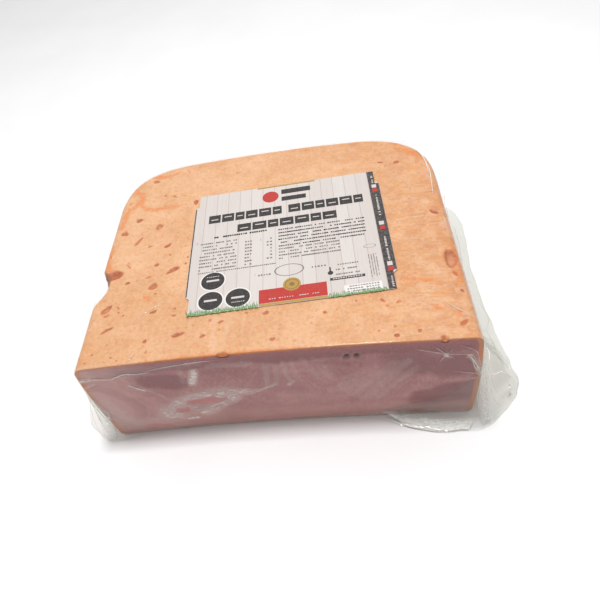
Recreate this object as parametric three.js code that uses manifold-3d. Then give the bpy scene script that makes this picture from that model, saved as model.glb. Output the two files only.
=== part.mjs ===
// Half a block of cooked, smoked pork shoulder, vacuum packed in clear film, with a printed label on top.
//
// Millimetres, +Z up. The origin is on the flat base, under the middle of the block. X runs along the
// cut face, which looks towards -Y, and the block's moulded back end looks towards +Y.
// Three pieces: the pork block, the loose skirt of the bag that stands off it, and the stuck-on label.

import * as THREE from "three";
import { mergeVertices } from "three/addons/utils/BufferGeometryUtils.js";
import Module from "manifold-3d";

// ---------------------------------------------------------------------------------- driving dimensions

// The block, at the level where its sides stand out furthest.
const BLOCK_HEIGHT = 65.4;
const LEFT_FRONT_X = -105;
const LEFT_BACK_X = -107.5;
const RIGHT_FRONT_X = 103.5;
const RIGHT_BACK_X = 99.5;
const BACK_Y = 93.5;
const WIDEST_LEVEL = 45;
const BASE_TUCK = 3.4; // how far the sides draw in from there down to the base
const TOP_TUCK = 0.8; // and up to the top
const TOP_EDGE_RADIUS = 4.5;
const BASE_EDGE_RADIUS = 3;
const SPARE_LENGTH = 20; // cast beyond the cut, then sliced off
const OUTLINE_POINTS = 110;
const EDGE_STEPS = 4; // facets in each rounded edge

// Between pieces that lie against each other.
const CLEARANCE = 0.3;

// The label, in its own u (across) and v (towards the back) before it is turned.
const LABEL_WIDTH = 112;
const LABEL_LENGTH = 104;
const LABEL_EAR = 2.3; // how far each side steps out along its middle
const LABEL_EAR_FROM = -38;
const LABEL_EAR_TO = 39;
const LABEL_CORNER = 1.6;
const LABEL_THICKNESS = 0.5;
const LABEL_CENTRE = new THREE.Vector2(6.6, -2.25);
const LABEL_TURN = THREE.MathUtils.degToRad(2.7);

// The loose skirt of the bag.
const LIP = 0.9; // thickness of the film's edge where it lies flat
const BURIED = 14; // reach of the rough skirt into the block, before it is cut to fit
const SAG = 2.1; // how hollow the film hangs between the block and its foot
const TAUT = 1.15; // the same where it is pulled nearly straight
const SECTION_STEPS = 5;
const STEPS_PER_STATION = 5;
const PLEAT_DEPTH = 0.07; // of the reach
const PLEATS = 23;

// ------------------------------------------------------------------------------------- mesh and solids

const wasm = await Module();
wasm.setup();

// A closed geometry, whatever its normals and uvs, as a solid that can be cut.
function toSolid(geometry) {
  const plain = geometry.clone();
  plain.deleteAttribute("normal");
  plain.deleteAttribute("uv");
  const merged = mergeVertices(plain, 1e-4);
  return new wasm.Manifold(
    new wasm.Mesh({
      numProp: 3,
      vertProperties: new Float32Array(merged.attributes.position.array),
      triVerts: new Uint32Array(merged.index.array),
    }),
  );
}

function toGeometry(solid) {
  const mesh = solid.getMesh();
  const geometry = new THREE.BufferGeometry();
  geometry.setAttribute("position", new THREE.BufferAttribute(mesh.vertProperties, 3));
  geometry.setIndex(new THREE.BufferAttribute(mesh.triVerts, 1));
  geometry.computeVertexNormals();
  return geometry;
}

// A closed skin through rings that have the same count of points. Each end is a fan from the ring's
// first point, which sees every other point of its ring.
function skinThrough(rings) {
  const count = rings[0].length;
  const last = (rings.length - 1) * count;
  const index = [];
  for (let start = 0; start < last; start += count) {
    for (let i = 0; i < count; i += 1) {
      const here = start + i;
      const beside = start + ((i + 1) % count);
      index.push(here, beside, beside + count, here, beside + count, here + count);
    }
  }
  for (let i = 1; i + 1 < count; i += 1) {
    index.push(0, i + 1, i);
    index.push(last, last + i, last + i + 1);
  }
  const positions = rings.flat().flatMap((point) => point.toArray());
  const geometry = new THREE.BufferGeometry();
  geometry.setAttribute("position", new THREE.Float32BufferAttribute(positions, 3));
  geometry.setIndex(index);
  return geometry;
}

// ------------------------------------------------------------------------------------------- the block

// The moulded outline seen from above: straight sides, which lean a little out of square towards the
// back, and two wide round corners at the back end. Each curve ends at a place given from a corner.
function blockOutline() {
  const front = CUT_LINE[0].y - SPARE_LENGTH;
  const left = LEFT_BACK_X;
  const right = RIGHT_BACK_X;
  const back = BACK_Y;
  const shape = new THREE.Shape();
  shape.moveTo(LEFT_FRONT_X, front);
  shape.lineTo(RIGHT_FRONT_X, front);
  shape.lineTo(right, back - 48);
  shape.bezierCurveTo(right - 1, back - 18, right - 18, back - 3, right - 50, back - 1);
  shape.bezierCurveTo(right - 90, back + 0.6, left + 90, back + 0.6, left + 45, back - 3.5);
  shape.bezierCurveTo(left + 14, back - 7, left + 1, back - 20, left, back - 48);
  shape.closePath();
  return shape.getSpacedPoints(OUTLINE_POINTS).slice(0, -1);
}

// How far the side lies in from its widest level, before the edges are rounded.
function tuckAt(level) {
  if (level < WIDEST_LEVEL) return BASE_TUCK * ((WIDEST_LEVEL - level) / WIDEST_LEVEL) ** 2;
  return TOP_TUCK * ((level - WIDEST_LEVEL) / (BLOCK_HEIGHT - WIDEST_LEVEL)) ** 2;
}

// Levels from the base to the top, each with how far the outline is drawn in there.
function sideLevels() {
  const levels = [];
  for (let step = 0; step <= EDGE_STEPS; step += 1) {
    const angle = (step / EDGE_STEPS) * (Math.PI / 2);
    const level = BASE_EDGE_RADIUS * (1 - Math.cos(angle));
    levels.push({ level, inset: tuckAt(level) + BASE_EDGE_RADIUS * (1 - Math.sin(angle)) });
  }
  for (const level of [14, 29, WIDEST_LEVEL]) levels.push({ level, inset: tuckAt(level) });
  for (let step = 0; step <= EDGE_STEPS; step += 1) {
    const angle = (step / EDGE_STEPS) * (Math.PI / 2);
    const level = BLOCK_HEIGHT - TOP_EDGE_RADIUS * (1 - Math.sin(angle));
    levels.push({ level, inset: tuckAt(level) + TOP_EDGE_RADIUS * (1 - Math.cos(angle)) });
  }
  return levels;
}

// The line of the knife seen from above: a little hollow at the middle.
const CUT_LINE = [
  new THREE.Vector2(-125, -87),
  new THREE.Vector2(-55, -84.6),
  new THREE.Vector2(14, -84.8),
  new THREE.Vector2(72, -86.8),
  new THREE.Vector2(125, -89),
];

// The block with its cut face, larger all round by `grown`, and open-ended below when it is a cutter.
function blockSolid(grown) {
  const outline = blockOutline();
  const normals = outline.map((point, i) => {
    const before = outline.at(i - 1);
    const after = outline[(i + 1) % outline.length];
    return new THREE.Vector2(after.y - before.y, before.x - after.x).normalize();
  });
  const levels = sideLevels();
  if (grown > 0) levels[0].level = -1;
  const rings = levels.map(({ level, inset }) =>
    outline.map((point, i) => {
      const moved = point.clone().addScaledVector(normals[i], grown - inset);
      return new THREE.Vector3(moved.x, moved.y, level);
    }),
  );
  const knife = new THREE.Shape();
  knife.moveTo(CUT_LINE[0].x, CUT_LINE[0].y - 2 * SPARE_LENGTH);
  knife.lineTo(CUT_LINE.at(-1).x, CUT_LINE[0].y - 2 * SPARE_LENGTH);
  knife.lineTo(CUT_LINE.at(-1).x, CUT_LINE.at(-1).y);
  knife.splineThru(CUT_LINE.slice(0, -1).reverse());
  knife.closePath();
  const slice = new THREE.ExtrudeGeometry(knife, {
    depth: 2 * BLOCK_HEIGHT,
    bevelEnabled: false,
    curveSegments: 16,
  });
  slice.translate(0, -grown, -BLOCK_HEIGHT / 2);
  return toSolid(skinThrough(rings)).subtract(toSolid(slice));
}

// An oval hollow: `across` and `along` are its full sizes at the surface, `deep` its depth.
function hollow({ x, y, z = BLOCK_HEIGHT, along, across, deep, turn = 0, sides = 12 }) {
  const bowl = new THREE.SphereGeometry(1, sides, 6);
  bowl.rotateX(Math.PI / 2);
  bowl.scale(along / 2, across / 2, deep);
  bowl.rotateZ(THREE.MathUtils.degToRad(turn));
  bowl.translate(x, y, z);
  return toSolid(bowl);
}

// Pits that the mould's air pockets left in the smoked top. Small ones are about 2 mm across.
const PIT_DEPTH = 0.28; // of a pit's width
const TOP_PITS = [
  { x: -90.7, y: 30.6, along: 4.6, across: 4, turn: 50 },
  { x: -98.2, y: 19.3, along: 5.2, across: 4.8, turn: 39 },
  { x: -87.2, y: 10.2, along: 9.6, across: 2.3, turn: 61 },
  { x: -75.9, y: 22.2, along: 5.6, across: 4.8, turn: 43 },
  { x: -67.5, y: 3.3, along: 4.8, across: 3.2, turn: 33 },
  { x: -86.3, y: 71.1, along: 4.4, across: 4, turn: 0 },
  { x: -60.8, y: -18.6, along: 9, across: 4, turn: 38 },
  { x: -71.6, y: -12.9, along: 3.6, across: 2.6, turn: 39 },
  { x: -86.9, y: -25.8, along: 3.8, across: 2.2, turn: 15 },
  { x: -70.8, y: -30.5, along: 6.2, across: 5, turn: 31 },
  { x: -95.2, y: -45.5, along: 8, across: 4.4, turn: 42 },
  { x: -91.2, y: -60.6, along: 7.2, across: 2.4, turn: 32 },
  { x: -67.1, y: -50.5, along: 4.2, across: 2.5, turn: 23 },
  { x: -50.5, y: -68.4, along: 8, across: 2.8, turn: 19 },
  { x: -37, y: -70.8, along: 4, across: 2.2, turn: 27 },
  { x: -68.2, y: -70.8, along: 3, across: 2.4, turn: 41 },
  { x: -28, y: -62.3, along: 3.4, across: 2, turn: 25 },
  { x: -4, y: -59.2, along: 3.4, across: 3, turn: 17 },
  { x: 0.2, y: -77.3, along: 3, across: 2.6, turn: 19 },
  { x: 27, y: -62.7, along: 2.4, across: 2.1, turn: 6 },
  { x: 61.8, y: -82, along: 3.2, across: 2.4, turn: 11 },
  { x: 73, y: -80.4, along: 2.4, across: 2.2, turn: 9 },
  { x: 76, y: 59.8, along: 4.4, across: 3.4, turn: 0 },
  { x: 92.2, y: 6.6, along: 6, across: 3.2, turn: -50 },
  { x: 94.5, y: -78, along: 5.4, across: 3.2, turn: 44 },
];

// Larger faults of the moulding, which reach over an edge.
const EDGE_FAULTS = [
  { x: -108, y: -27, z: 62, along: 20.5, across: 30, deep: 16, sides: 20 }, // dent in the left side
  { x: -95, y: -19, along: 10, across: 7, deep: 2.2, turn: 44, sides: 16 }, // pit at that dent's edge
  { x: 96.5, y: -32.5, along: 15, across: 7, deep: 2.6, turn: -84, sides: 16 }, // hollow, right edge
  { x: -25, y: -84.9, along: 7, across: 4, deep: 1.6 }, // nick in the edge of the cut
  { x: 84, y: -87, along: 4, across: 4.4, deep: 1.8 }, // pit that the knife opened
];

// Round holes that show in the cut face: where, and how wide.
const CUT_FACE_HOLES = [
  { x: 36.4, z: 55.9, width: 3 },
  { x: 41, z: 56.9, width: 2.6 },
];

function porkBlock() {
  let block = blockSolid(0);
  for (const pit of TOP_PITS) block = block.subtract(hollow({ ...pit, deep: pit.across * PIT_DEPTH }));
  for (const fault of EDGE_FAULTS) block = block.subtract(hollow(fault));
  for (const { x, z, width } of CUT_FACE_HOLES) {
    block = block.subtract(hollow({ x, y: -85.6, z, along: width, across: width, deep: width / 2 }));
  }
  return toGeometry(block);
}

// ------------------------------------------------------------------------- the loose skirt of the bag

// Stations round the block, from its left side past the cut face to the back of its right side. At
// each the film leaves the block at `root`, at `height`, and meets the table at `foot`.
const SKIRT = [
  { root: [-104, -34], foot: [-106, -34], height: 3, sag: SAG },
  { root: [-104, -50], foot: [-113, -49], height: 12, sag: SAG },
  { root: [-104, -66], foot: [-126, -64], height: 34, sag: TAUT },
  { root: [-104.5, -79], foot: [-124, -76], height: 54, sag: TAUT },
  { root: [-105, -85.3], foot: [-116, -84.5], height: 52, sag: SAG },
  { root: [-104.5, -86.2], foot: [-108.5, -90], height: 46, sag: SAG },
  { root: [-98, -86], foot: [-99, -90.3], height: 22, sag: SAG },
  { root: [-84, -85.4], foot: [-84.5, -87.8], height: 6, sag: SAG },
  { root: [-40, -84.6], foot: [-40, -86.5], height: 3, sag: SAG },
  { root: [20, -85], foot: [20, -86.9], height: 3, sag: SAG },
  { root: [44, -85.8], foot: [46, -88.6], height: 4, sag: SAG },
  { root: [60, -86.3], foot: [62, -94.2], height: 9, sag: SAG },
  { root: [78, -87], foot: [80, -99.5], height: 16, sag: SAG },
  { root: [94, -87.6], foot: [96, -100], height: 30, sag: SAG },
  { root: [102.5, -88], foot: [107, -97.5], height: 50, sag: SAG },
  { root: [103.4, -87.2], foot: [122, -84], height: 55, sag: SAG },
  { root: [103.2, -78], foot: [128.5, -72], height: 50, sag: TAUT },
  { root: [102, -60], foot: [127, -58], height: 36, sag: SAG },
  { root: [101, -32], foot: [123.5, -34], height: 27, sag: SAG },
  { root: [100, 0], foot: [120.5, -3], height: 25, sag: SAG },
  { root: [99, 28], foot: [119.5, 28], height: 25, sag: SAG },
  { root: [97.6, 54], foot: [121.5, 58], height: 23, sag: SAG },
  { root: [92, 71], foot: [116, 84], height: 15, sag: SAG },
  { root: [82, 80], foot: [92, 92], height: 5, sag: SAG },
];

// How far the film's edge stands in or out of its line at a place 0 to 1 along the skirt.
function pleatAt(place) {
  const turns = 2 * Math.PI * PLEATS * place;
  return 1 + PLEAT_DEPTH * (0.6 * Math.sin(turns) + 0.4 * Math.sin(1.7 * turns + 1));
}

// A point under the block for each root, drawn in the same way all round a corner.
function underBlock(root) {
  const held = new THREE.Vector3(
    THREE.MathUtils.clamp(root.x, LEFT_FRONT_X + BURIED, RIGHT_BACK_X - BURIED),
    THREE.MathUtils.clamp(root.y, CUT_LINE[1].y + BURIED, BACK_Y - 2 * BURIED),
    0,
  );
  return held.lerp(root, 0.05);
}

function bagSkirt() {
  const roots = new THREE.CatmullRomCurve3(SKIRT.map((s) => new THREE.Vector3(...s.root, 0)));
  const feet = new THREE.CatmullRomCurve3(SKIRT.map((s) => new THREE.Vector3(...s.foot, 0)));
  const hang = new THREE.SplineCurve(SKIRT.map((s) => new THREE.Vector2(s.height, s.sag)));
  const steps = (SKIRT.length - 1) * STEPS_PER_STATION;
  const rings = [];
  for (let step = 0; step <= steps; step += 1) {
    const place = step / steps;
    const root = roots.getPoint(place);
    const foot = feet.getPoint(place).sub(root).multiplyScalar(pleatAt(place)).add(root);
    const { x: height, y: sag } = hang.getPoint(place);
    const inside = underBlock(root);
    const ring = [inside, inside.clone().setZ(Math.max(height, 2 * LIP))];
    for (let part = 0; part <= SECTION_STEPS; part += 1) {
      const out = part / SECTION_STEPS;
      const level = LIP + Math.max(height - LIP, LIP) * (1 - out) ** sag;
      ring.push(root.clone().lerp(foot, out).setZ(level));
    }
    ring.push(foot);
    rings.push(ring);
  }
  return toGeometry(toSolid(skinThrough(rings)).subtract(blockSolid(CLEARANCE)));
}

// ------------------------------------------------------------------------------------------- the label

// A rectangle with small round corners, whose left and right sides step out along their middle.
function label() {
  const u = LABEL_WIDTH / 2;
  const v = LABEL_LENGTH / 2;
  const shape = new THREE.Shape();
  shape.moveTo(-u + LABEL_CORNER, -v);
  shape.lineTo(u - LABEL_CORNER, -v);
  shape.quadraticCurveTo(u, -v, u, -v + LABEL_CORNER);
  shape.lineTo(u, LABEL_EAR_FROM - LABEL_EAR);
  shape.lineTo(u + LABEL_EAR, LABEL_EAR_FROM);
  shape.lineTo(u + LABEL_EAR, LABEL_EAR_TO);
  shape.lineTo(u, LABEL_EAR_TO + LABEL_EAR);
  shape.lineTo(u, v - LABEL_CORNER);
  shape.quadraticCurveTo(u, v, u - LABEL_CORNER, v);
  shape.lineTo(-u + LABEL_CORNER, v);
  shape.quadraticCurveTo(-u, v, -u, v - LABEL_CORNER);
  shape.lineTo(-u, LABEL_EAR_TO + LABEL_EAR);
  shape.lineTo(-u - LABEL_EAR, LABEL_EAR_TO);
  shape.lineTo(-u - LABEL_EAR, LABEL_EAR_FROM);
  shape.lineTo(-u, LABEL_EAR_FROM - LABEL_EAR);
  shape.lineTo(-u, -v + LABEL_CORNER);
  shape.quadraticCurveTo(-u, -v, -u + LABEL_CORNER, -v);
  return new THREE.ExtrudeGeometry(shape, {
    depth: LABEL_THICKNESS,
    bevelEnabled: false,
    curveSegments: 4,
  });
}

// ------------------------------------------------------------------------------------------- the group

function piece(name, geometry, finish) {
  const mesh = new THREE.Mesh(geometry, new THREE.MeshStandardMaterial(finish));
  mesh.name = name;
  return mesh;
}

const pack = new THREE.Group();
pack.name = "vacuum_packed_pork_shoulder";

pack.add(piece("pork_block", porkBlock(), { color: "#e8b38c", roughness: 0.45, metalness: 0 }));

const skirt = piece("bag_skirt", bagSkirt(), { color: "#e9ecea", roughness: 0.15, metalness: 0 });
skirt.material.transparent = true;
skirt.material.opacity = 0.4;
pack.add(skirt);

const sticker = piece("label", label(), { color: "#efe9e7", roughness: 0.35, metalness: 0 });
sticker.position.set(LABEL_CENTRE.x, LABEL_CENTRE.y, BLOCK_HEIGHT + CLEARANCE);
sticker.rotation.z = LABEL_TURN;
pack.add(sticker);

export default pack;
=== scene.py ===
"""The looks of a half block of smoked pork shoulder, vacuum packed in clear film under a printed label.

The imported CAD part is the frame. Sizes in this file are millimetres, and each mesh is turned to metres
as it is made. X runs along the cut face, which looks towards -Y, and Z is up.
"""

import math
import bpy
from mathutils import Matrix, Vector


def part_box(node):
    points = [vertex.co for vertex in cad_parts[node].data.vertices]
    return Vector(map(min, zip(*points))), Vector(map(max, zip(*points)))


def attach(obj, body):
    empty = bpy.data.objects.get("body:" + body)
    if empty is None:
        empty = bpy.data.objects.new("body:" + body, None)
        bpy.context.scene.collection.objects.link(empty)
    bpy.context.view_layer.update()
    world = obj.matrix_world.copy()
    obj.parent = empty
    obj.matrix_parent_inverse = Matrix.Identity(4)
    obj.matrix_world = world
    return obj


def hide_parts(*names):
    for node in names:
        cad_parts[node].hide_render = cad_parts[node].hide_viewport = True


bl_info = {
    "name": "Vacuum Packed Pork Shoulder",
    "version": (1, 0, 0),
    "blender": (4, 5, 0),
    "location": "3D View > Sidebar > Pork Pack",
    "description": "Builds the meat, the clear film, the label and the studio round a packed CAD part",
    "category": "Add Mesh",
}

from functools import partial

import bpy
import numpy as np
from mathutils import Matrix, Vector, noise
from mathutils.geometry import delaunay_2d_cdt

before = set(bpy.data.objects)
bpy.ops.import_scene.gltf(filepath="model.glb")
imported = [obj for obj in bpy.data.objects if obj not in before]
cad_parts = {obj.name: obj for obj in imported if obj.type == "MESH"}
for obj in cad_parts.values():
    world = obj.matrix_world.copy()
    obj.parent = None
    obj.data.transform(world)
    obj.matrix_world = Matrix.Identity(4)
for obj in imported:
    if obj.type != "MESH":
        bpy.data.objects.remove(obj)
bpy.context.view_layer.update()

MM = 0.001
BODY = "root"


def cad_box(node):
    """Lowest and highest corner of a CAD node, in millimetres."""
    low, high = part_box(node)
    return np.array(low) / MM, np.array(high) / MM


BACK_Y, HEIGHT = (float(side) for side in cad_box("pork_block")[1][1:])
LABEL_UNDERSIDE = cad_box("label")[0][2]

# ------------------------------------------------------------------------------------- colours and sizes


def linear(code):
    """An sRGB hex colour as linear red, green and blue."""
    parts = [int(code[i : i + 2], 16) / 255 for i in (1, 3, 5)]
    return tuple(c / 12.92 if c <= 0.04045 else ((c + 0.055) / 1.055) ** 2.4 for c in parts)


def colour_property(name, code, description):
    """A colour given as a hex code."""
    kind = {"subtype": "COLOR", "size": 3, "min": 0, "max": 1}
    return bpy.props.FloatVectorProperty(name=name, description=description, default=linear(code), **kind)


def length_property(name, value, description):
    """A length given in millimetres, kept in metres and shown in the scene's unit."""
    kind = {"subtype": "DISTANCE", "unit": "LENGTH", "min": 0, "precision": 5}
    return bpy.props.FloatProperty(name=name, description=description, default=value * MM, **kind)


class PorkPackSizes(bpy.types.PropertyGroup):
    """Sizes that a user may change."""

    cut_rounding: length_property("Cut edge rounding", 0.9, "Radius that the tight film gives the knife's edges")
    grain: length_property("Meat grain", 1.25, "Distance between points of the meat's mesh")
    film_grain: length_property("Film grain", 1.2, "Distance between points of the film's mesh")
    film_gap: length_property("Film gap", 0.18, "Room between the meat and the film that clings to it")
    paper: length_property("Label thickness", 0.14, "Thickness of the coated paper")
    crease_scale: bpy.props.FloatProperty(
        name="Crease width",
        description="How wide the film's sharp folds are, as a share of their usual width",
        subtype="FACTOR",
        min=0.1,
        max=3.0,
        default=1.0,
    )


class PorkPackColours(bpy.types.PropertyGroup):
    """Colours that a user may change."""

    skin: colour_property("Smoked skin", "#dba97c", "Main tan of the smoked top")
    skin_pale: colour_property("Pale skin", "#e5b88f", "Tan where the smoke took less")
    skin_deep: colour_property("Deep skin", "#cb8d5b", "Tan where the smoke took more")
    stain: colour_property("Warm stain", "#c98450", "Orange tan towards the edges")
    gold_stain: colour_property("Golden streaks", "#e09a48", "Golden streaks of dried juice")
    side_skin: colour_property("Smoked sides", "#bd7145", "Deep tan of the sides")
    smear: colour_property("Smears", "#dc8440", "Orange of dried smears")
    pit: colour_property("Pits", "#a44a1e", "Rusty brown of the deep pits")
    pit_orange: colour_property("Orange pits", "#cc7a42", "Orange-brown of shallow pits and specks")
    pit_core: colour_property("Pit cores", "#dca67c", "Paler meat that shows inside a pit")
    cut: colour_property("Cut face", "#b9807e", "Mauve pink of the lean meat")
    cut_dark: colour_property("Dark muscle", "#94595d", "Purple pink of the darker muscle")
    cut_pale: colour_property("Pale muscle", "#d8a8a1", "Pink of the paler muscle and seams")
    cut_red: colour_property("Red muscle", "#cf7d76", "Redder pink near the edges")
    rind: colour_property("Rind line", "#d08a5c", "Thin smoked line round the cut face")
    hole: colour_property("Holes in the lean", "#3c1a18", "Dark red brown of the small holes")
    paper: colour_property("Paper", "#cfc8c3", "Ground of the label")
    board: colour_property("Printed board", "#c5bab5", "Pinkish grey of the printed boards")
    board_gap: colour_property("Board gaps", "#a68d85", "Lines between the boards, and their knots")
    board_grain: colour_property("Board grain", "#b9a49d", "Grain of the printed boards")
    ink: colour_property("Dark print", "#1d1918", "Dark print of the label")
    charcoal: colour_property("Charcoal print", "#25201f", "Dark strip at the label's right")
    red: colour_property("Red print", "#b52318", "Red print of the label")
    gold: colour_property("Gold print", "#b58f42", "Gold print of the label")
    green: colour_property("Green print", "#3f7a3c", "Green print of the label")
    light_green: colour_property("Light green print", "#6c9a52", "Lighter green print of the label")


def sizes():
    """The sizes in use."""
    return bpy.context.scene.pork_pack_sizes


def colours():
    """The colours in use."""
    return bpy.context.scene.pork_pack_colours


# --------------------------------------------------------------------------------------------- form

LEFT_FRONT_X, LEFT_BACK_X = -105.0, -107.5
RIGHT_FRONT_X, RIGHT_BACK_X = 103.5, 99.5
# The mould's outline starts and ends this far in front of the knife's line.
FRONT_SPARE_Y = -107.0
CORNER_START_Y = BACK_Y - 48
WIDEST_LEVEL = 45.0
BASE_TUCK, TOP_TUCK = 3.4, 0.8
TOP_EDGE_RADIUS, BASE_EDGE_RADIUS = 4.5, 3.0
CUT_LINE = [(-125, -87), (-55, -84.6), (14, -84.8), (72, -86.8), (125, -89)]
# The mesh: about how long the moulded sides and the cut face are, fine steps near the corners, coarse ones below.
SIDE_RUN, FRONT_RUN = 560.0, 207.0
CORNER_STEP, CORNER_REACH, CORNER_POINTS, CORNER_ROUNDS = 0.45, 2.7, 3, 5
BASE_STEP, BASE_MARGIN = 9.0, 4.0


def spline(points, places):
    """A smooth line through rows of numbers, at places from 0 to 1 spread evenly over its spans."""
    rows = np.asarray(points, float)
    held = np.vstack([2 * rows[0] - rows[1], rows, 2 * rows[-1] - rows[-2]])
    at = np.clip(places, 0, 1) * (len(rows) - 1)
    first = np.minimum(at.astype(int), len(rows) - 2)
    t = (at - first)[:, None]
    a, b, c, d = (held[first + k] for k in range(4))
    return 0.5 * (2 * b + (c - a) * t + (2 * a - 5 * b + 4 * c - d) * t**2 + (3 * b - a - 3 * c + d) * t**3)


def bezier(a, b, c, d, steps):
    """A curve from a towards b, and from c into d, without its last point."""
    t = np.linspace(0, 1, steps, endpoint=False)[:, None]
    a, b, c, d = (np.array(p, float) for p in (a, b, c, d))
    return a * (1 - t) ** 3 + 3 * b * t * (1 - t) ** 2 + 3 * c * t**2 * (1 - t) + d * t**3


def straight(a, b, steps):
    """A straight line from a to b, without its last point."""
    t = np.linspace(0, 1, steps, endpoint=False)[:, None]
    return np.array(a, float) * (1 - t) + np.array(b, float) * t


def moulded_path():
    """The moulded outline from the right front round the back to the left front, with outward normals."""
    left, right, back, start = LEFT_BACK_X, RIGHT_BACK_X, BACK_Y, CORNER_START_Y
    right_end, left_end = (right - 50, back - 1), (left + 45, back - 3.5)
    path = np.vstack(
        [
            straight((RIGHT_FRONT_X, FRONT_SPARE_Y), (right, start), 240),
            bezier((right, start), (right - 1, back - 18), (right - 18, back - 3), right_end, 120),
            bezier(right_end, (right - 90, back + 0.6), (left + 90, back + 0.6), left_end, 160),
            bezier(left_end, (left + 14, back - 7), (left + 1, back - 20), (left, start), 120),
            straight((left, start), (LEFT_FRONT_X, FRONT_SPARE_Y), 240),
        ]
    )
    along = np.gradient(path, axis=0)
    along /= np.linalg.norm(along, axis=1)[:, None]
    return path, np.column_stack([along[:, 1], -along[:, 0]])


CUT_SAMPLES = spline(CUT_LINE, np.linspace(0, 1, 400))


def cut_at(x):
    """Where the knife's line runs in Y."""
    return np.interp(x, CUT_SAMPLES[:, 0], CUT_SAMPLES[:, 1])


def tuck_at(level):
    """How far the moulded sides lie inside their widest level, at another level."""
    if level < WIDEST_LEVEL:
        return BASE_TUCK * ((WIDEST_LEVEL - level) / WIDEST_LEVEL) ** 2
    return TOP_TUCK * ((level - WIDEST_LEVEL) / (HEIGHT - WIDEST_LEVEL)) ** 2


def rounding(depth, radius):
    """How far a rounded edge draws in at a depth from the flat beside it."""
    if depth >= radius:
        return 0.0
    return radius - math.sqrt(max(radius**2 - (radius - depth) ** 2, 0.0))


def levels(step, edge):
    """Heights from the base to the top with the inset of the moulded sides and of the cut face."""
    turn = np.linspace(0, math.pi / 2, 9)
    heights = list(BASE_EDGE_RADIUS * (1 - np.cos(turn)))
    top_start = HEIGHT - TOP_EDGE_RADIUS
    spans = round((top_start - BASE_EDGE_RADIUS) / step)
    heights += list(np.linspace(BASE_EDGE_RADIUS, top_start, spans + 1)[1:-1])
    heights += list(top_start + TOP_EDGE_RADIUS * np.sin(turn))
    rows = []
    for z in heights:
        inset = tuck_at(z) + rounding(z, BASE_EDGE_RADIUS) + rounding(HEIGHT - z, TOP_EDGE_RADIUS)
        rows.append((z, inset, rounding(z, edge) + rounding(HEIGHT - z, edge)))
    return rows


def spread(length, step):
    """Places from 0 to 1 along a length, close together near both ends and `step` apart between."""
    reach = CORNER_REACH
    close = np.arange(0, reach, CORNER_STEP)
    middle = np.linspace(reach, length - reach, max(2, round((length - 2 * reach) / step)))
    return np.concatenate([close, middle, length - close[::-1]]) / length


def ring(z, inset, front_inset, grown, side_places, front_places):
    """One level of the block, anticlockwise from its right front corner, larger all round by `grown`."""
    path, normals = MOULD
    moved = path + normals * (grown - inset)
    knife = cut_at(moved[:, 0]) + front_inset - grown
    behind = np.flatnonzero(moved[:, 1] > knife)
    first, last = behind[0], behind[-1]

    def crossing(outer, inner):
        """Where the outline crosses the knife's line, between one point before it and one behind."""
        a, b = moved[outer, 1] - knife[outer], moved[inner, 1] - knife[inner]
        return moved[outer] + (moved[inner] - moved[outer]) * (-a / (b - a))

    side = np.vstack([crossing(first - 1, first), moved[first : last + 1], crossing(last + 1, last)])
    run = np.concatenate([[0], np.cumsum(np.linalg.norm(np.diff(side, axis=0), axis=1))])
    at = side_places * run[-1]
    side = np.column_stack([np.interp(at, run, side[:, k]) for k in (0, 1)])
    x = side[-1, 0] + (side[0, 0] - side[-1, 0]) * front_places[1:-1]
    front = np.column_stack([x, cut_at(x) + front_inset - grown])
    loop = np.vstack([side, front])
    corners = (0, len(side) - 1)
    near = np.array([c + k for c in corners for k in range(-CORNER_POINTS, CORNER_POINTS + 1)]) % len(loop)
    for _ in range(CORNER_ROUNDS):
        loop[near] = 0.5 * loop[near] + 0.25 * (loop[near - 1] + loop[(near + 1) % len(loop)])
    return np.column_stack([loop, np.full(len(loop), z)])


MOULD = moulded_path()


def inside(points, loop, margin):
    """Which points lie inside a closed loop, further than `margin` from it."""
    a, b = loop, np.roll(loop, -1, axis=0)
    along = b - a
    length2 = (along**2).sum(1)
    kept = np.zeros(len(points), bool)
    for start in range(0, len(points), 3000):
        p = points[start : start + 3000, None, :]
        straddle = (a[None, :, 1] > p[:, :, 1]) != (b[None, :, 1] > p[:, :, 1])
        with np.errstate(divide="ignore", invalid="ignore"):
            cross_x = a[None, :, 0] + along[None, :, 0] * (p[:, :, 1] - a[None, :, 1]) / along[None, :, 1]
        odd = (straddle & (p[:, :, 0] < cross_x)).sum(1) % 2 == 1
        t = np.clip(((p - a[None]) * along[None]).sum(2) / length2[None], 0, 1)
        gap = np.linalg.norm(p - (a[None] + along[None] * t[:, :, None]), axis=2).min(1)
        kept[start : start + 3000] = odd & (gap > margin)
    return kept


def hex_points(loop, step):
    """Points in even triangles over the box of a loop."""
    low, high = loop.min(0), loop.max(0)
    rows = []
    for k, y in enumerate(np.arange(low[1], high[1], step * 0.866)):
        x = np.arange(low[0] + (k % 2) * step / 2, high[0], step)
        rows.append(np.column_stack([x, np.full(len(x), y)]))
    return np.vstack(rows)


def fill(loop, points):
    """Triangles between a closed loop and the points inside it, anticlockwise. Loop points count first."""
    flat = np.vstack([loop, points]) if len(points) else loop
    made = delaunay_2d_cdt([Vector(p) for p in flat], [], [list(range(len(loop)))], 1, 1e-7)
    if len(made[0]) > len(flat):
        raise RuntimeError("a cap's outline crosses itself")
    source = [origins[0] for origins in made[3]]
    triangles = np.array([[source[i] for i in face] for face in made[2]])
    a, b, c = (flat[triangles[:, k]] for k in range(3))
    turn = (b - a)[:, 0] * (c - a)[:, 1] - (b - a)[:, 1] * (c - a)[:, 0]
    triangles[turn < 0] = triangles[turn < 0][:, ::-1]
    return triangles


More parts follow.
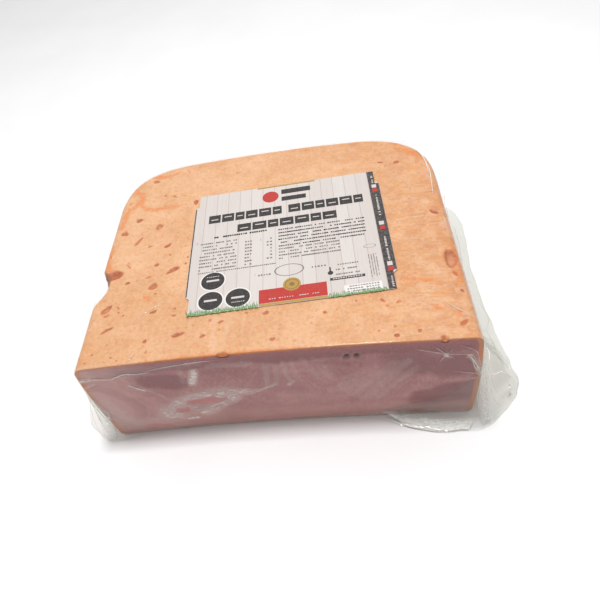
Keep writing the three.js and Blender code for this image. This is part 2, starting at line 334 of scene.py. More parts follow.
class BlockSkin:
    """The block's closed skin: level rings joined by strips, a fine cap above and a plain one below."""

    def __init__(self, grown, step, edge, front_step, cap_points):
        side_places, front_places = spread(SIDE_RUN, step), spread(FRONT_RUN, front_step)
        rings = [ring(*row, grown, side_places, front_places) for row in levels(step, edge)]
        count = len(rings[0])
        self.front_start = len(side_places) - 1
        loop, low_loop = rings[-1][:, :2], rings[0][:, :2]
        points = cap_points(loop)
        coarse = hex_points(low_loop, BASE_STEP)
        coarse = coarse[inside(coarse, low_loop, BASE_MARGIN)]
        caps = [np.column_stack([flat, np.full(len(flat), z)]) for flat, z in ((points, HEIGHT), (coarse, 0.0))]
        self.co = np.vstack(rings + caps)
        here = np.arange(count)
        beside = (here + 1) % count
        strips = []
        for k in range(len(rings) - 1):
            low, high = k * count, (k + 1) * count
            strips.append(np.column_stack([low + here, low + beside, high + beside, high + here]))
        self.quads = np.vstack(strips)
        top = (len(rings) - 1) * count
        self.cap = fill(loop, points) + top
        base = fill(low_loop, coarse)[:, ::-1]
        start = top + count + len(points)
        self.base = np.where(base < count, base, base - count + start)
        self.count = count
        self.front = np.zeros(len(self.co), bool)
        for k in range(len(rings)):
            self.front[k * count + self.front_start : (k + 1) * count] = True
            self.front[k * count] = True

    def faces(self):
        """Every face as a list of points."""
        return [*self.quads.tolist(), *self.cap.tolist(), *self.base.tolist()]


def normals_of(co, skin):
    """Unit normals at the points of a skin."""
    total = np.zeros_like(co)
    for part in (skin.quads[:, :3], skin.quads[:, [0, 2, 3]], skin.cap, skin.base):
        a, b, c = (co[part[:, k]] for k in range(3))
        face = np.cross(b - a, c - a)
        for k in range(3):
            np.add.at(total, part[:, k], face)
    return total / np.maximum(np.linalg.norm(total, axis=1), 1e-9)[:, None]


def smooth(x):
    """An even slope from 0 to 1 with soft ends."""
    x = np.clip(x, 0, 1)
    return x * x * (3 - 2 * x)


def rough(co, scale, seed):
    """Soft noise from -1 to 1 whose lumps are about `scale` millimetres across."""
    shift = Vector((seed * 7.3, seed * 3.1, seed * 5.7))
    return np.array([noise.noise(Vector(p) / scale + shift) for p in co])


def distance_to(points, line):
    """Distance of points from a broken line, and the place of the nearest point from 0 to 1."""
    line = np.asarray(line, float)
    best = np.full(len(points), 1e9)
    place = np.zeros(len(points))
    lengths = np.linalg.norm(np.diff(line, axis=0), axis=1)
    run = np.concatenate([[0], np.cumsum(lengths)])
    for k in range(len(line) - 1):
        along = line[k + 1] - line[k]
        t = np.clip(((points - line[k]) @ along) / max(lengths[k] ** 2, 1e-9), 0, 1)
        gap = np.linalg.norm(points - (line[k] + t[:, None] * along), axis=1)
        better = gap < best
        best[better] = gap[better]
        place[better] = ((run[k] + t * lengths[k]) / run[-1])[better]
    return best, place


# ------------------------------------------------------------------------------------- marks in the meat

# Pits of the smoked top: x, y, length, width, turn, how dark from orange 0 to brown 1, pale middle 0 to 1.
PITS = [
    (-90.7, 30.6, 4.6, 4.0, 50, 0.8, 0),
    (-98.2, 19.3, 5.2, 4.8, 39, 0.55, 0),
    (-87.2, 10.2, 9.6, 2.3, 61, 0.45, 0.5),
    (-75.9, 22.2, 5.6, 4.8, 43, 0.6, 0.9),
    (-67.5, 3.3, 4.8, 3.2, 33, 0.8, 0),
    (-86.3, 71.1, 4.4, 4.0, 0, 0.35, 0),
    (-60.8, -18.6, 9.0, 4.0, 38, 0.9, 0),
    (-71.6, -12.9, 3.6, 2.6, 39, 0.6, 0),
    (-86.9, -25.8, 3.8, 2.2, 15, 0.85, 0),
    (-70.8, -30.5, 6.2, 5.0, 31, 0.7, 0.35),
    (-95.2, -45.5, 8.0, 4.4, 42, 0.85, 0.8),
    (-91.2, -60.6, 7.2, 2.4, 32, 0.95, 0.2),
    (-67.1, -50.5, 4.2, 2.5, 23, 0.7, 0),
    (-50.5, -68.4, 8.0, 2.8, 19, 0.9, 0),
    (-37.0, -70.8, 4.0, 2.2, 27, 0.6, 0),
    (-68.2, -70.8, 3.0, 2.4, 41, 0.7, 0),
    (-28.0, -62.3, 3.4, 2.0, 25, 0.5, 0),
    (-4.0, -59.2, 3.4, 3.0, 17, 0.6, 0),
    (0.2, -77.3, 3.0, 2.6, 19, 0.45, 0),
    (27.0, -62.7, 2.4, 2.1, 6, 0.5, 0),
    (61.8, -82.0, 3.2, 2.4, 11, 0.9, 0),
    (73.0, -80.4, 2.4, 2.2, 9, 0.6, 0),
    (76.0, 59.8, 4.4, 3.4, 0, 0.75, 0),
    (92.2, 6.6, 6.0, 3.2, -50, 0.95, 0),
    (94.5, -78.0, 5.4, 3.2, 44, 0.4, 0),
    (-97.5, -18.5, 13.0, 8.5, 34, 1.0, 0),
    (-54.8, 43.2, 3.6, 5.1, 0, 0.7, 0),
    (65.8, 61.5, 1.9, 3.8, 80, 0.5, 0),
]

# Shallow marks: x, y, length, width, turn, how dark.
MARKS = [
    (-77.0, 54.1, 2.4, 2.3, 0, 0.3),
    (-70.5, 52.1, 4.1, 2.0, -47, 0.2),
    (-75.0, -22.6, 3.4, 1.7, 27, 0.4),
    (-64.5, -5.3, 1.7, 1.7, 0, 0.5),
    (-53.2, -8.8, 1.5, 1.5, 0, 0.5),
    (-53.7, -14.4, 1.9, 1.6, 30, 0.5),
    (-102.9, -1.4, 2.0, 2.0, 0, 0.5),
    (-78.8, 4.4, 3.0, 1.4, 20, 0.6),
    (-89.1, -11.7, 5.1, 1.2, -51, 0.2),
    (-94.6, -50.3, 2.5, 2.3, 0, 0.1),
    (-88.3, -44.9, 3.3, 1.1, -45, 0.6),
    (-87.4, -48.3, 1.5, 1.5, 0, 0.6),
    (-84.1, -51.0, 1.4, 1.4, 0, 0.6),
    (-55.0, -49.5, 1.5, 1.5, 0, 0.7),
    (-54.6, -54.6, 2.3, 2.0, 0, 0.5),
    (-66.2, -78.0, 2.5, 1.1, 83, 0.4),
    (-98.5, -81.8, 1.5, 1.5, 0, 0.3),
    (-95.6, -76.7, 1.6, 1.6, 0, 0.3),
    (-84.8, -79.7, 1.5, 1.5, 0, 0.4),
    (-81.1, -82.0, 1.2, 1.2, 0, 0.4),
    (-34.0, -60.6, 2.0, 2.0, 0, 0.2),
    (-68.4, -36.5, 1.8, 1.8, 0, 0.4),
    (-14.4, -57.7, 2.2, 1.8, 0, 0.4),
    (57.0, -58.4, 3.7, 1.9, -43, 0.55),
    (64.8, -60.5, 3.9, 1.9, 26, 0.1),
    (43.4, -56.8, 1.5, 1.5, 0, 0.4),
    (61.5, -76.3, 1.7, 1.7, 0, 0.1),
    (97.4, -57.1, 2.7, 2.1, -62, 0.8),
    (95.9, -44.6, 5.1, 2.2, -62, 0.6),
]

# Faults that reach over an edge of the top: x, y, length, width, turn, depth, level where they die out,
# how dark, pale middle.
EDGE_FAULTS = [
    (95.6, -32.5, 15.0, 8.0, -84, 2.6, 58.0, 0.5, 0.8),
    (-25.0, -84.6, 7.0, 4.4, 0, 1.6, 61.5, 0.3, 0),
    (84.0, -86.6, 4.4, 4.6, 0, 1.8, 61.5, 0.35, 0),
]

# Shades of the cut face: broken lines in x and z, width, strength. Dark muscle is below 0, pale seams above.
# The wide pale band at the left and the pale bands along the foot are painted light, the thin pale line at the
# very foot a painted highlight, and the dark muscle at the right edge partly painted shade.
MUSCLES = [
    ([(-97, 48), (-90, 41), (-84, 33), (-82, 25), (-86, 17)], 3.4, -1.0),
    ([(-70, 50), (-56, 46)], 7.0, -0.8),
    ([(-92, 62.5), (-60, 62), (0, 60), (60, 62), (101, 61)], 5.5, -0.85),
    ([(-103, 54), (-92, 52)], 5.0, 0.5),
    ([(-106, 60), (-98, 8)], 30.0, 0.75),
    ([(-98, 8), (-40, 8)], 9.0, 0.9),
    ([(76, 15), (88, 19), (99, 20)], 9.5, -1.0),
    ([(-38, 10), (-26, 8)], 6.0, -0.5),
    ([(20, 58), (40, 52)], 7.0, -0.45),
    ([(-10, 52), (-4, 38), (6, 30)], 9.0, -0.35),
    ([(60, 50), (86, 44), (100, 44)], 10.0, -0.7),
    ([(30, 44), (52, 52)], 8.0, -0.3),
    ([(-40, 54), (-20, 50)], 6.0, -0.4),
    ([(-28, 20), (0, 16)], 6.0, -0.25),
    ([(-100, 38), (-99, 22)], 4.0, 0.7),
    ([(-76, 34), (-70, 22), (-84, 12)], 5.0, 0.5),
    ([(-92, 10), (-84, 12)], 3.0, 0.5),
    ([(-66, 8), (-40, 5)], 3.6, 0.55),
    ([(-102, 9), (-60, 6), (0, 4), (40, 4), (90, 2)], 12.0, 0.7),
    ([(28, 24), (40, 34), (54, 46)], 9.0, 0.4),
    ([(0, 22), (30, 20)], 8.0, 0.4),
    ([(-12, 34), (20, 34)], 6.0, 0.25),
    ([(58, 12), (66, 22), (78, 38)], 2.6, 0.35),
    ([(-103, 2.0), (0, 2.0), (60, 2.0)], 1.5, 0.9),
]
# Redder places of the cut face, in the same form.
BLOOD = [
    ([(-84, 5.5), (-72, 5)], 3.6, 1.0),
    ([(-54, 26), (-38, 27)], 3.0, 0.75),
    ([(-61, 20), (-57, 19)], 2.6, 0.75),
    ([(-100, 3), (-88, 2.5)], 2.2, 0.8),
    ([(-80, 1.8), (0, 1.8), (100, 1.8)], 1.6, 0.45),
]

# Round holes in the cut face: x, z, width.
CUT_HOLES = [(36.4, 55.9, 3.4), (41.2, 56.6, 3.2)]

# The dent in the left side, an oval hollow, and the point that it is pressed in from.
DENT_CENTRE = np.array([-108.0, -27.0, 62.0])
DENT_RADII = np.array([10.25, 15.0, 16.0])
DENT_FROM = np.array([-124.0, -27.0, 84.0])
DENT_FILM_SHARE = 0.95

# Orange smears where smoke juice dried: broken lines in plan, with their width.
SMEARS = [
    ([(-100, 64), (-94.2, 58), (-92.5, 50), (-95.5, 46), (-101, 41)], 4.2),
    ([(-94, 47), (-87, 41.5), (-81.8, 39.4), (-74, 41), (-64, 41.5)], 3.2),
    ([(-101, 45), (-100.5, 33.9), (-101.5, 24)], 3.4),
    ([(-89.2, 76.3), (-81, 75.2), (-72, 78)], 3.6),
    ([(76.7, 75.3), (86, 69), (93, 60.3)], 4.2),
    ([(67.8, -44), (73.4, -45.5), (83.4, -47.7), (88.3, -52)], 2.6),
    ([(80.6, -64.2), (85.5, -67.5)], 3.4),
    ([(94, -69.5), (92, -75)], 2.8),
    ([(-74.5, -38), (-71, -41.5)], 2.6),
    ([(-104, 8), (-104, -6), (-102, -14), (-94, -16)], 3.8),
    ([(97.5, -22), (98.5, -40), (98, -52)], 3.0),
    ([(-101, -88), (-80, -86), (-40, -84), (20, -84)], 2.0),
]

# Points of the top's mesh round a pit or a mark: rings as shares of its size, points in a ring.
PIT_RINGS, PIT_SIDES = (0.3, 0.55, 0.75, 0.9, 1.02, 1.14, 1.32), 16
MARK_RINGS, MARK_SIDES = (0.5, 0.85, 1.1, 1.4), 9
RING_MARGIN, RING_NEAR, POINT_GAP = 0.35, 8, 0.22
# Depth of pits and marks as a share of their width, room for the film under the meat, depth that counts as top.
PIT_DEPTH, MARK_DEPTH, FOOT_GAP, TOP_DEPTH = 0.17, 0.08, 0.12, 1.5
# Swells of the meat's surface: how high and how wide.
SWELLS = [(0.22, 34), (0.10, 9)]
# Distances from the rim of the cut face count by these shares from its top and right, and by more from its foot.
RIM_TOP_SHARE, RIM_RIGHT_SHARE, RIM_BASE_GAP = 0.65, 1.5, 0.7


def oval(points, x, y, length, width, turn, seed):
    """How far points lie from an uneven oval: 0 at its middle and 1 on its edge."""
    a = math.radians(turn)
    dx, dy = points[:, 0] - x, points[:, 1] - y
    u = (dx * math.cos(a) + dy * math.sin(a)) / (length / 2)
    v = (-dx * math.sin(a) + dy * math.cos(a)) / (width / 2)
    around = np.arctan2(v, u)
    uneven = 1 + 0.1 * np.sin(2 * around + seed) + 0.08 * np.sin(3 * around + 2.3 * seed)
    return np.hypot(u, v) * uneven


def oval_points(x, y, length, width, turn, shares, sides):
    """Rings of points on and round an oval."""
    a = math.radians(turn)
    t = np.arange(sides) * 2 * math.pi / sides
    rows = [np.array([[x, y]])]
    for k, share in enumerate(shares):
        u = np.cos(t + k * math.pi / sides) * share * length / 2
        v = np.sin(t + k * math.pi / sides) * share * width / 2
        across, up = u * math.cos(a) - v * math.sin(a), u * math.sin(a) + v * math.cos(a)
        rows.append(np.column_stack([x + across, y + up]))
    return np.vstack(rows)


def meat_cap(loop, step):
    """Points of the smoked top: an even spread with rings set round each pit."""
    even = hex_points(loop, step)
    even = even[inside(even, loop, 0.75 * step)]
    extra = []
    spots = [(p[:5], PIT_RINGS, PIT_SIDES) for p in PITS] + [(m[:5], MARK_RINGS, MARK_SIDES) for m in MARKS]
    for spot, shares, sides in spots:
        held = oval_points(*spot, shares, sides)
        held = held[inside(held, loop, RING_MARGIN)]
        if extra:
            other = np.vstack(extra)
            other = other[np.linalg.norm(other - np.array(spot[:2]), axis=1) < spot[2] + RING_NEAR]
            if len(other):
                held = held[np.linalg.norm(held[:, None] - other[None], axis=2).min(1) > POINT_GAP]
        even = even[oval(even, *spot, 0) > shares[-1] + 0.7 * step / (spot[3] / 2) * 0.5]
        extra.append(held)
    return np.vstack([even, *extra])


def press_dent(co, share=1.0):
    """Moves the points inside the dent, or inside a share of it, to its far wall, and says how deep each went."""
    radii = DENT_RADII * share
    start = (DENT_FROM - DENT_CENTRE) / radii
    at = (co - DENT_CENTRE) / radii
    within = np.linalg.norm(at, axis=1) < 1
    along = at[within] - start
    a = (along**2).sum(1)
    b = 2 * (along @ start)
    c = start @ start - 1
    far = (-b + np.sqrt(np.maximum(b * b - 4 * a * c, 0))) / (2 * a)
    landed = (start + along * far[:, None]) * radii + DENT_CENTRE
    depth = np.zeros(len(co))
    depth[within] = np.linalg.norm(landed - co[within], axis=1)
    moved = co.copy()
    moved[within] = landed
    return moved, depth


def shape_meat(skin):
    """Relief of the meat, with the attributes that its materials read."""
    co = skin.co.copy()
    x, _, level = skin.co.T
    flat, plane = skin.co[:, :2], skin.co[:, [0, 2]]
    pit, dark, pale, smear, muscle, seam, blood, down = np.zeros((8, len(co)))
    co[:, 2] = FOOT_GAP + co[:, 2] * (HEIGHT - FOOT_GAP) / HEIGHT
    normals = normals_of(co, skin)
    lift = sum(high * rough(co, wide, seed) for seed, (high, wide) in enumerate(SWELLS, 1))
    lift[skin.front] *= 0.6
    above = smooth((co[:, 2] - 2) / 6)
    co += normals * (lift * above - FOOT_GAP)[:, None]
    near_top = level > HEIGHT - TOP_DEPTH

    def stain(mask, tone, core=None):
        """Colours a pit where its mask is the strongest so far, with a pale middle if one is given."""
        stronger = mask > pit
        dark[stronger] = tone
        if core is not None:
            pale[stronger] = core[stronger]
        pit[stronger] = mask[stronger]

    spots = [(p[:5], p[3] * PIT_DEPTH, p[5], p[6]) for p in PITS]
    spots += [(m[:5], m[3] * MARK_DEPTH, m[5], 0) for m in MARKS]
    for k, (spot, deep, tone, core) in enumerate(spots):
        r = oval(flat, *spot, k)
        down = np.maximum(down, deep * smooth((1.1 - r) / 0.75) * near_top)
        stain(smooth((1.25 - r) / 0.6) * near_top, tone, core * smooth((0.62 - r) / 0.35))
    for k, (*spot, deep, floor_z, tone, core) in enumerate(EDGE_FAULTS):
        r = oval(flat, *spot, k)
        down = np.maximum(down, deep * smooth((1.05 - r) / 0.6) * smooth((level - floor_z) / (HEIGHT - floor_z)))
        stain(smooth((1.1 - r) / 0.3) * smooth((level - floor_z - 1) / 2), tone, core * smooth((0.7 - r) / 0.4))
    co[:, 2] -= down
    co, depth = press_dent(co)
    stain(smooth(depth / 2.5) * 0.9, 0.6)
    # The holes are pressed in a little and stained dark, which paints the shade in their depths.
    for hole_x, hole_z, width in CUT_HOLES:
        r = np.hypot(x - hole_x, level - hole_z) / (width / 2)
        mask = smooth((1.1 - r) / 0.35) * skin.front
        co[:, 1] += mask * width * 0.5
        stain(mask, 1)
    wander = 1 + 0.5 * rough(np.column_stack([flat, np.zeros(len(co))]), 4, 9)
    for line, width in SMEARS:
        gap, place = distance_to(flat, line)
        taper = 0.45 + 0.55 * np.sin(np.pi * np.clip(place, 0, 1))
        smear = np.maximum(smear, smooth(1.15 - gap / (width * taper * wander)) * near_top)
    left, right = (np.interp(level, EDGE_LEVELS, edge) for edge in (LEFT_EDGE, RIGHT_EDGE))
    from_top, from_right = RIM_TOP_SHARE * (HEIGHT - level), RIM_RIGHT_SHARE * (right - x)
    rim = np.minimum.reduce([level + RIM_BASE_GAP, from_top, x - left, from_right])
    # Muscles meet along lines that stray a little from the ones given.
    strayed = plane + np.column_stack([2.4 * rough(co, 11, 21) + 1.2 * rough(co, 4, 22), 2.4 * rough(co, 11, 23)])
    for line, width, strength in MUSCLES:
        gap, _ = distance_to(strayed, line)
        mark = abs(strength) * smooth(1.25 - 0.8 * gap / width) * skin.front
        if strength > 0:
            seam = np.maximum(seam, mark)
        else:
            muscle = np.maximum(muscle, mark)
    for line, width, strength in BLOOD:
        gap, _ = distance_to(strayed, line)
        blood = np.maximum(blood, strength * smooth(1.3 - gap / width) * skin.front)
    # Deeper tan where the surface turns from up, all over the lower sides and down the rounded top edges: partly
    # the sides' own tan, partly painted shade.
    side = np.where(level > 0.5 * HEIGHT, smooth((0.9 - normals[:, 2]) / 0.7), 1.0)
    # Orange tan along the moulded edges of the top. The orange that grows towards the right is painted shade,
    # where the light falls off.
    inward, _ = distance_to(flat, MOULD[0][::8])
    rightward = smooth((flat[:, 0] - 10) / 85)
    warm = 0.2 * near_top + 0.45 * rightward + (0.35 + 0.4 * rightward) * smooth(1.1 - inward / 11) * near_top
    values = {"pit": pit, "dark": dark, "pale": pale, "smear": smear, "rim": np.maximum(rim, 0)}
    values |= {"muscle": muscle, "seam": seam, "blood": blood, "side": 0.75 * side, "warm": np.minimum(warm, 1)}
    return co, values


# The two upright edges of the cut face: their levels, and x of each at those levels.
EDGE_RINGS = [ring(*row, 0, np.linspace(0, 1, 300), np.linspace(0, 1, 60)) for row in levels(4.0, 0.9)]
EDGE_LEVELS, LEFT_EDGE, RIGHT_EDGE = zip(*((r[0, 2], r[299, 0], r[0, 0]) for r in EDGE_RINGS))

# --------------------------------------------------------------------------------------- mesh and nodes

COORDS, ATTRIBUTE, SPLIT = "ShaderNodeTexCoord", "ShaderNodeAttribute", "ShaderNodeSeparateXYZ"
MAPPING, NOISE, VORONOI = "ShaderNodeMapping", "ShaderNodeTexNoise", "ShaderNodeTexVoronoi"
MIX, RANGE, MATH, BUMP = "ShaderNodeMix", "ShaderNodeMapRange", "ShaderNodeMath", "ShaderNodeBump"
PRINCIPLED, OUTPUT, MIX_SHADER = "ShaderNodeBsdfPrincipled", "ShaderNodeOutputMaterial", "ShaderNodeMixShader"
COLOUR = {"data_type": "RGBA"}
EASED = {"interpolation_type": "SMOOTHSTEP"}


def mesh_object(name, co, faces, materials, attributes=None, face_materials=None, uv=None, edges=()):
    """A mesh object whose place is in its mesh, from points in millimetres."""
    mesh = bpy.data.meshes.new(name)
    mesh.from_pydata((np.asarray(co, float).reshape(-1, 3) * MM).tolist(), list(edges), faces)
    for material in materials:
        mesh.materials.append(material)
    if face_materials is not None:
        mesh.polygons.foreach_set("material_index", np.asarray(face_materials, np.int32))
    for key, values in (attributes or {}).items():
        layer = mesh.attributes.new(key, "FLOAT", "POINT")
        layer.data.foreach_set("value", np.asarray(values, np.float32))
    if uv is not None:
        corner = np.empty(len(mesh.loops), np.int32)
        mesh.loops.foreach_get("vertex_index", corner)
        layer = mesh.uv_layers.new(name="UVMap")
        layer.data.foreach_set("uv", np.asarray(uv, np.float32)[corner].ravel())
    mesh.polygons.foreach_set("use_smooth", np.ones(len(mesh.polygons), bool))
    mesh.update()
    mesh.validate()
    made = bpy.data.objects.new(name, mesh)
    bpy.context.scene.collection.objects.link(made)
    return made


def finish_piece(piece, slot, *nodes):
    """Hands a finished piece to the frame."""
    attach(piece, BODY)
    if nodes:
        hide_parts(*nodes)


def add(tree, kind, inputs=None, **settings):
    """Adds a node with its settings. An input is a value, a socket to link, or a node to link from."""
    made = tree.nodes.new(kind)
    for key, value in settings.items():
        setattr(made, key, value)
    for key, value in (inputs or {}).items():
        if isinstance(value, bpy.types.Node):
            value = next(output for output in value.outputs if output.enabled)
        if isinstance(value, bpy.types.NodeSocket):
            tree.links.new(value, made.inputs[key])
        else:
            made.inputs[key].default_value = value
    return made


def new_material(name):
    """An empty node material, with the function that adds to it."""
    material = bpy.data.materials.new(name)
    material.use_nodes = True
    material.node_tree.nodes.clear()
    return material, partial(add, material.node_tree)


def rgba(colour):
    """A colour property or a hex code as the four numbers of a node's socket."""
    return (*(linear(colour) if isinstance(colour, str) else tuple(colour)[:3]), 1.0)


def per(size):
    """The scale that makes a pattern's lumps about `size` millimetres across."""
    return 1 / (size * MM)


def tinge(put, base, colour, pattern, low, high, most=1.0):
    """Lays a colour over a base as a pattern goes from one level to another, `most` of it at the second."""
    share = put(RANGE, {0: pattern, 1: low, 2: high, 4: most}, **EASED)
    return put(MIX, {0: share, 6: base, 7: rgba(colour)}, **COLOUR)


def finish_meat(put, base, bump, damp, sheen, scatter, depth):
    """Ends a material of moist cooked meat: it shines softly, and light goes `depth` into it, red furthest."""
    shader = {"Base Color": base, "Roughness": damp, "IOR": 1.4, "Specular IOR Level": sheen, "Normal": bump}
    shader |= {"Subsurface Weight": 0.15, "Subsurface Radius": scatter, "Subsurface Scale": depth * MM}
    put(OUTPUT, {"Surface": put(PRINCIPLED, shader)})


# ------------------------------------------------------------------------------------------- materials


def smoked_skin_material():
    """Skin of cooked pork after smoking: gelatine and fat, so it is moist and a little see-through. The smoke
    leaves clouded tans, orange where juice ran and rusty brown in the pits. The deeper tan of the sides and
    of the rounded top edges is partly painted shade, and the orange that grows towards the right is painted shade."""
    c = colours()
    material, put = new_material("smoked_pork_skin")
    where = put(COORDS).outputs["Object"]
    read = {
        key: put(ATTRIBUTE, attribute_name=key).outputs["Fac"]
        for key in ("pit", "dark", "pale", "smear", "warm", "side")
    }
    cloud = put(NOISE, {"Vector": where, "Scale": per(26), "Detail": 4.0})
    base = tinge(put, rgba(c.skin), c.skin_pale, cloud, 0.36, 0.64)
    patch = put(NOISE, {"Vector": where, "Scale": per(11), "Detail": 3.0, "Roughness": 0.6})
    base = tinge(put, base, c.skin_deep, patch, 0.5, 0.76, 0.42)
    # Orange stain towards the edges, and towards the right as painted shade, broken up by clouds, with golden
    # streaks along the film's fine wrinkles.
    broken = put(NOISE, {"Vector": where, "Scale": per(7), "Detail": 4.0, "Roughness": 0.65})
    broken = put(RANGE, {0: broken, 1: 0.36, 2: 0.66, 3: 0.25, 4: 1.0}, **EASED)
    stain = put(MATH, {0: read["warm"], 1: broken}, operation="MULTIPLY")
    base = put(MIX, {0: stain, 6: base, 7: rgba(c.stain)}, **COLOUR)
    streaked = put(MAPPING, {"Vector": where, "Scale": (0.2, 1, 1)})
    streak = put(NOISE, {"Vector": streaked, "Scale": per(2.6), "Detail": 3.0, "Roughness": 0.6})
    streak = put(RANGE, {0: streak, 1: 0.5, 2: 0.68, 4: 0.9}, **EASED)
    streak = put(MATH, {0: streak, 1: read["warm"]}, operation="MULTIPLY")
    base = put(MIX, {0: streak, 6: base, 7: rgba(c.gold_stain)}, **COLOUR)
    # The sides' deeper tan, partly painted shade down the rounded top edges.
    base = put(MIX, {0: read["side"], 6: base, 7: rgba(c.side_skin)}, **COLOUR)
    # Grain of the meat under the skin, 1 to 2 mm across, darker and lighter.
    mottle = put(NOISE, {"Vector": where, "Scale": per(1.5), "Detail": 4.0, "Roughness": 0.75})
    base = tinge(put, base, c.skin_deep, mottle, 0.49, 0.68, 0.72)
    base = tinge(put, base, c.skin_pale, mottle, 0.49, 0.3, 0.72)
    # Rusty specks about a millimetre across, in some cells only.
    for cell, share, low, high, strength in ((4.2, 0.62, 0.1, 0.2, 0.6), (9.0, 0.5, 0.06, 0.12, 0.85)):
        cells = put(VORONOI, {"Vector": where, "Scale": per(cell)})
        pick = put("ShaderNodeSeparateColor", {"Color": cells.outputs["Color"]})
        few = put(RANGE, {0: pick.outputs[0], 1: share, 2: share + 0.05}, **EASED)
        dot = put(RANGE, {0: cells.outputs["Distance"], 1: high, 2: low, 4: strength}, **EASED)
        speck = put(MATH, {0: few, 1: dot}, operation="MULTIPLY")
        base = put(MIX, {0: speck, 6: base, 7: rgba(c.pit_orange)}, **COLOUR)
    ragged = put(NOISE, {"Vector": where, "Scale": per(2.2), "Detail": 4.0, "Roughness": 0.7})
    ragged = put(MATH, {0: ragged, 1: 0.5}, operation="SUBTRACT")
    marks = {}
    for key, sway, low, high, strength in (("smear", 2.6, 0.1, 1.25, 0.8), ("pit", 1.1, 0.15, 1.0, 0.92)):
        swayed = put(MATH, {0: ragged, 1: sway, 2: read[key]}, operation="MULTIPLY_ADD")
        shape = put(RANGE, {0: swayed, 1: low, 2: high, 4: strength}, **EASED)
        held = put(RANGE, {0: read[key], 1: 0.02, 2: 0.2}, **EASED)
        marks[key] = put(MATH, {0: shape, 1: held}, operation="MULTIPLY")
    base = put(MIX, {0: marks["smear"], 6: base, 7: rgba(c.smear)}, **COLOUR)
    rust = put(MIX, {0: read["dark"], 6: rgba(c.pit_orange), 7: rgba(c.pit)}, **COLOUR)
    vary = put(NOISE, {"Vector": where, "Scale": per(1.6), "Detail": 3.0, "Roughness": 0.7})
    rust = tinge(put, rust, c.pit_orange, vary, 0.4, 0.72, 0.6)
    core = put(MATH, {0: read["pale"], 1: 0.55}, operation="MULTIPLY")
    rust = put(MIX, {0: core, 6: rust, 7: rgba(c.pit_core)}, **COLOUR)
    base = put(MIX, {0: marks["pit"], 6: base, 7: rust}, **COLOUR)
    grain = put(NOISE, {"Vector": where, "Scale": per(1.4), "Detail": 4.0, "Roughness": 0.6})
    bump = put(BUMP, {"Height": grain, "Strength": 0.3, "Distance": 0.3 * MM})
    wet = put(NOISE, {"Vector": where, "Scale": per(4), "Detail": 3.0})
    damp = put(RANGE, {0: wet, 1: 0.3, 2: 0.7, 3: 0.4, 4: 0.55})
    finish_meat(put, base, bump, damp, 0.3, (1.0, 0.42, 0.25), 1.4)
    return material


def cut_meat_material():
    """Cured lean pork sliced by a blade: wet and smooth, mauve pink, clouded where one muscle meets the next,
    with fibres that run slantwise and a thin rusty line where the smoke went in. The pale bands at its left and
    along its foot are painted light, the dark muscle at its right edge is partly painted shade, and its holes are
    dark with painted shade."""
    c = colours()
    material, put = new_material("cured_lean_cut")
    where = put(COORDS).outputs["Object"]
    read = {
        key: put(ATTRIBUTE, attribute_name=key).outputs["Fac"] for key in ("muscle", "seam", "blood", "rim", "pit")
    }
    flow = put(MAPPING, {"Vector": where, "Rotation": (0, math.radians(-28), 0), "Scale": (0.6, 1, 1.2)})
    cloud = put(NOISE, {"Vector": flow, "Scale": per(19), "Detail": 3.0, "Roughness": 0.5, "Distortion": 1.0})
    base = tinge(put, rgba(c.cut), c.cut_dark, cloud, 0.5, 0.28, 0.3)
    base = tinge(put, base, c.cut_pale, cloud, 0.52, 0.76, 0.42)
    fibre = put(MAPPING, {"Vector": where, "Rotation": (0, math.radians(24), 0), "Scale": (1.5, 1, 0.6)})
    thread = put(NOISE, {"Vector": fibre, "Scale": per(1.8), "Detail": 4.0, "Roughness": 0.65})
    base = tinge(put, base, c.cut_pale, thread, 0.48, 0.72, 0.45)
    base = tinge(put, base, c.cut_dark, thread, 0.48, 0.28, 0.45)
    ragged = put(NOISE, {"Vector": flow, "Scale": per(5), "Detail": 3.0, "Roughness": 0.6})
    ragged = put(MATH, {0: ragged, 1: 0.5}, operation="SUBTRACT")
    # The pale seams hold painted light at the left and along the foot, and the dark muscle is partly painted shade
    # at the right edge.
    for key, colour, low, high, most in (
        ("muscle", c.cut_dark, 0.12, 0.75, 0.85),
        ("seam", c.cut_pale, 0.12, 0.9, 0.7),
        ("blood", c.cut_red, 0.1, 0.8, 0.8),
    ):
        swayed = put(MATH, {0: ragged, 1: 0.5, 2: read[key]}, operation="MULTIPLY_ADD")
        base = tinge(put, base, colour, swayed, low, high, most)
    speck = put(NOISE, {"Vector": where, "Scale": per(0.9), "Detail": 3.0, "Roughness": 0.7})
    base = tinge(put, base, c.cut_pale, speck, 0.5, 0.75, 0.4)
    wander = put(NOISE, {"Vector": where, "Scale": per(3), "Detail": 2.0})
    wander = put(MATH, {0: wander, 1: 0.9, 2: -0.45}, operation="MULTIPLY_ADD")
    rim = put(MATH, {0: read["rim"], 1: wander}, operation="ADD")
    base = tinge(put, base, c.cut_red, rim, 5.0, 0.6, 0.3)
    base = tinge(put, base, c.rind, rim, 1.15, 0.3, 0.95)
    # Dark red brown in the holes of the lean: painted shade.
    base = put(MIX, {0: read["pit"], 6: base, 7: rgba(c.hole)}, **COLOUR)
    bump = put(BUMP, {"Height": thread, "Strength": 0.2, "Distance": 0.2 * MM})
    wet = put(NOISE, {"Vector": where, "Scale": per(5), "Detail": 3.0})
    damp = put(RANGE, {0: wet, 1: 0.3, 2: 0.7, 3: 0.32, 4: 0.46})
    finish_meat(put, base, bump, damp, 0.12, (1.0, 0.4, 0.35), 1.6)
    return material


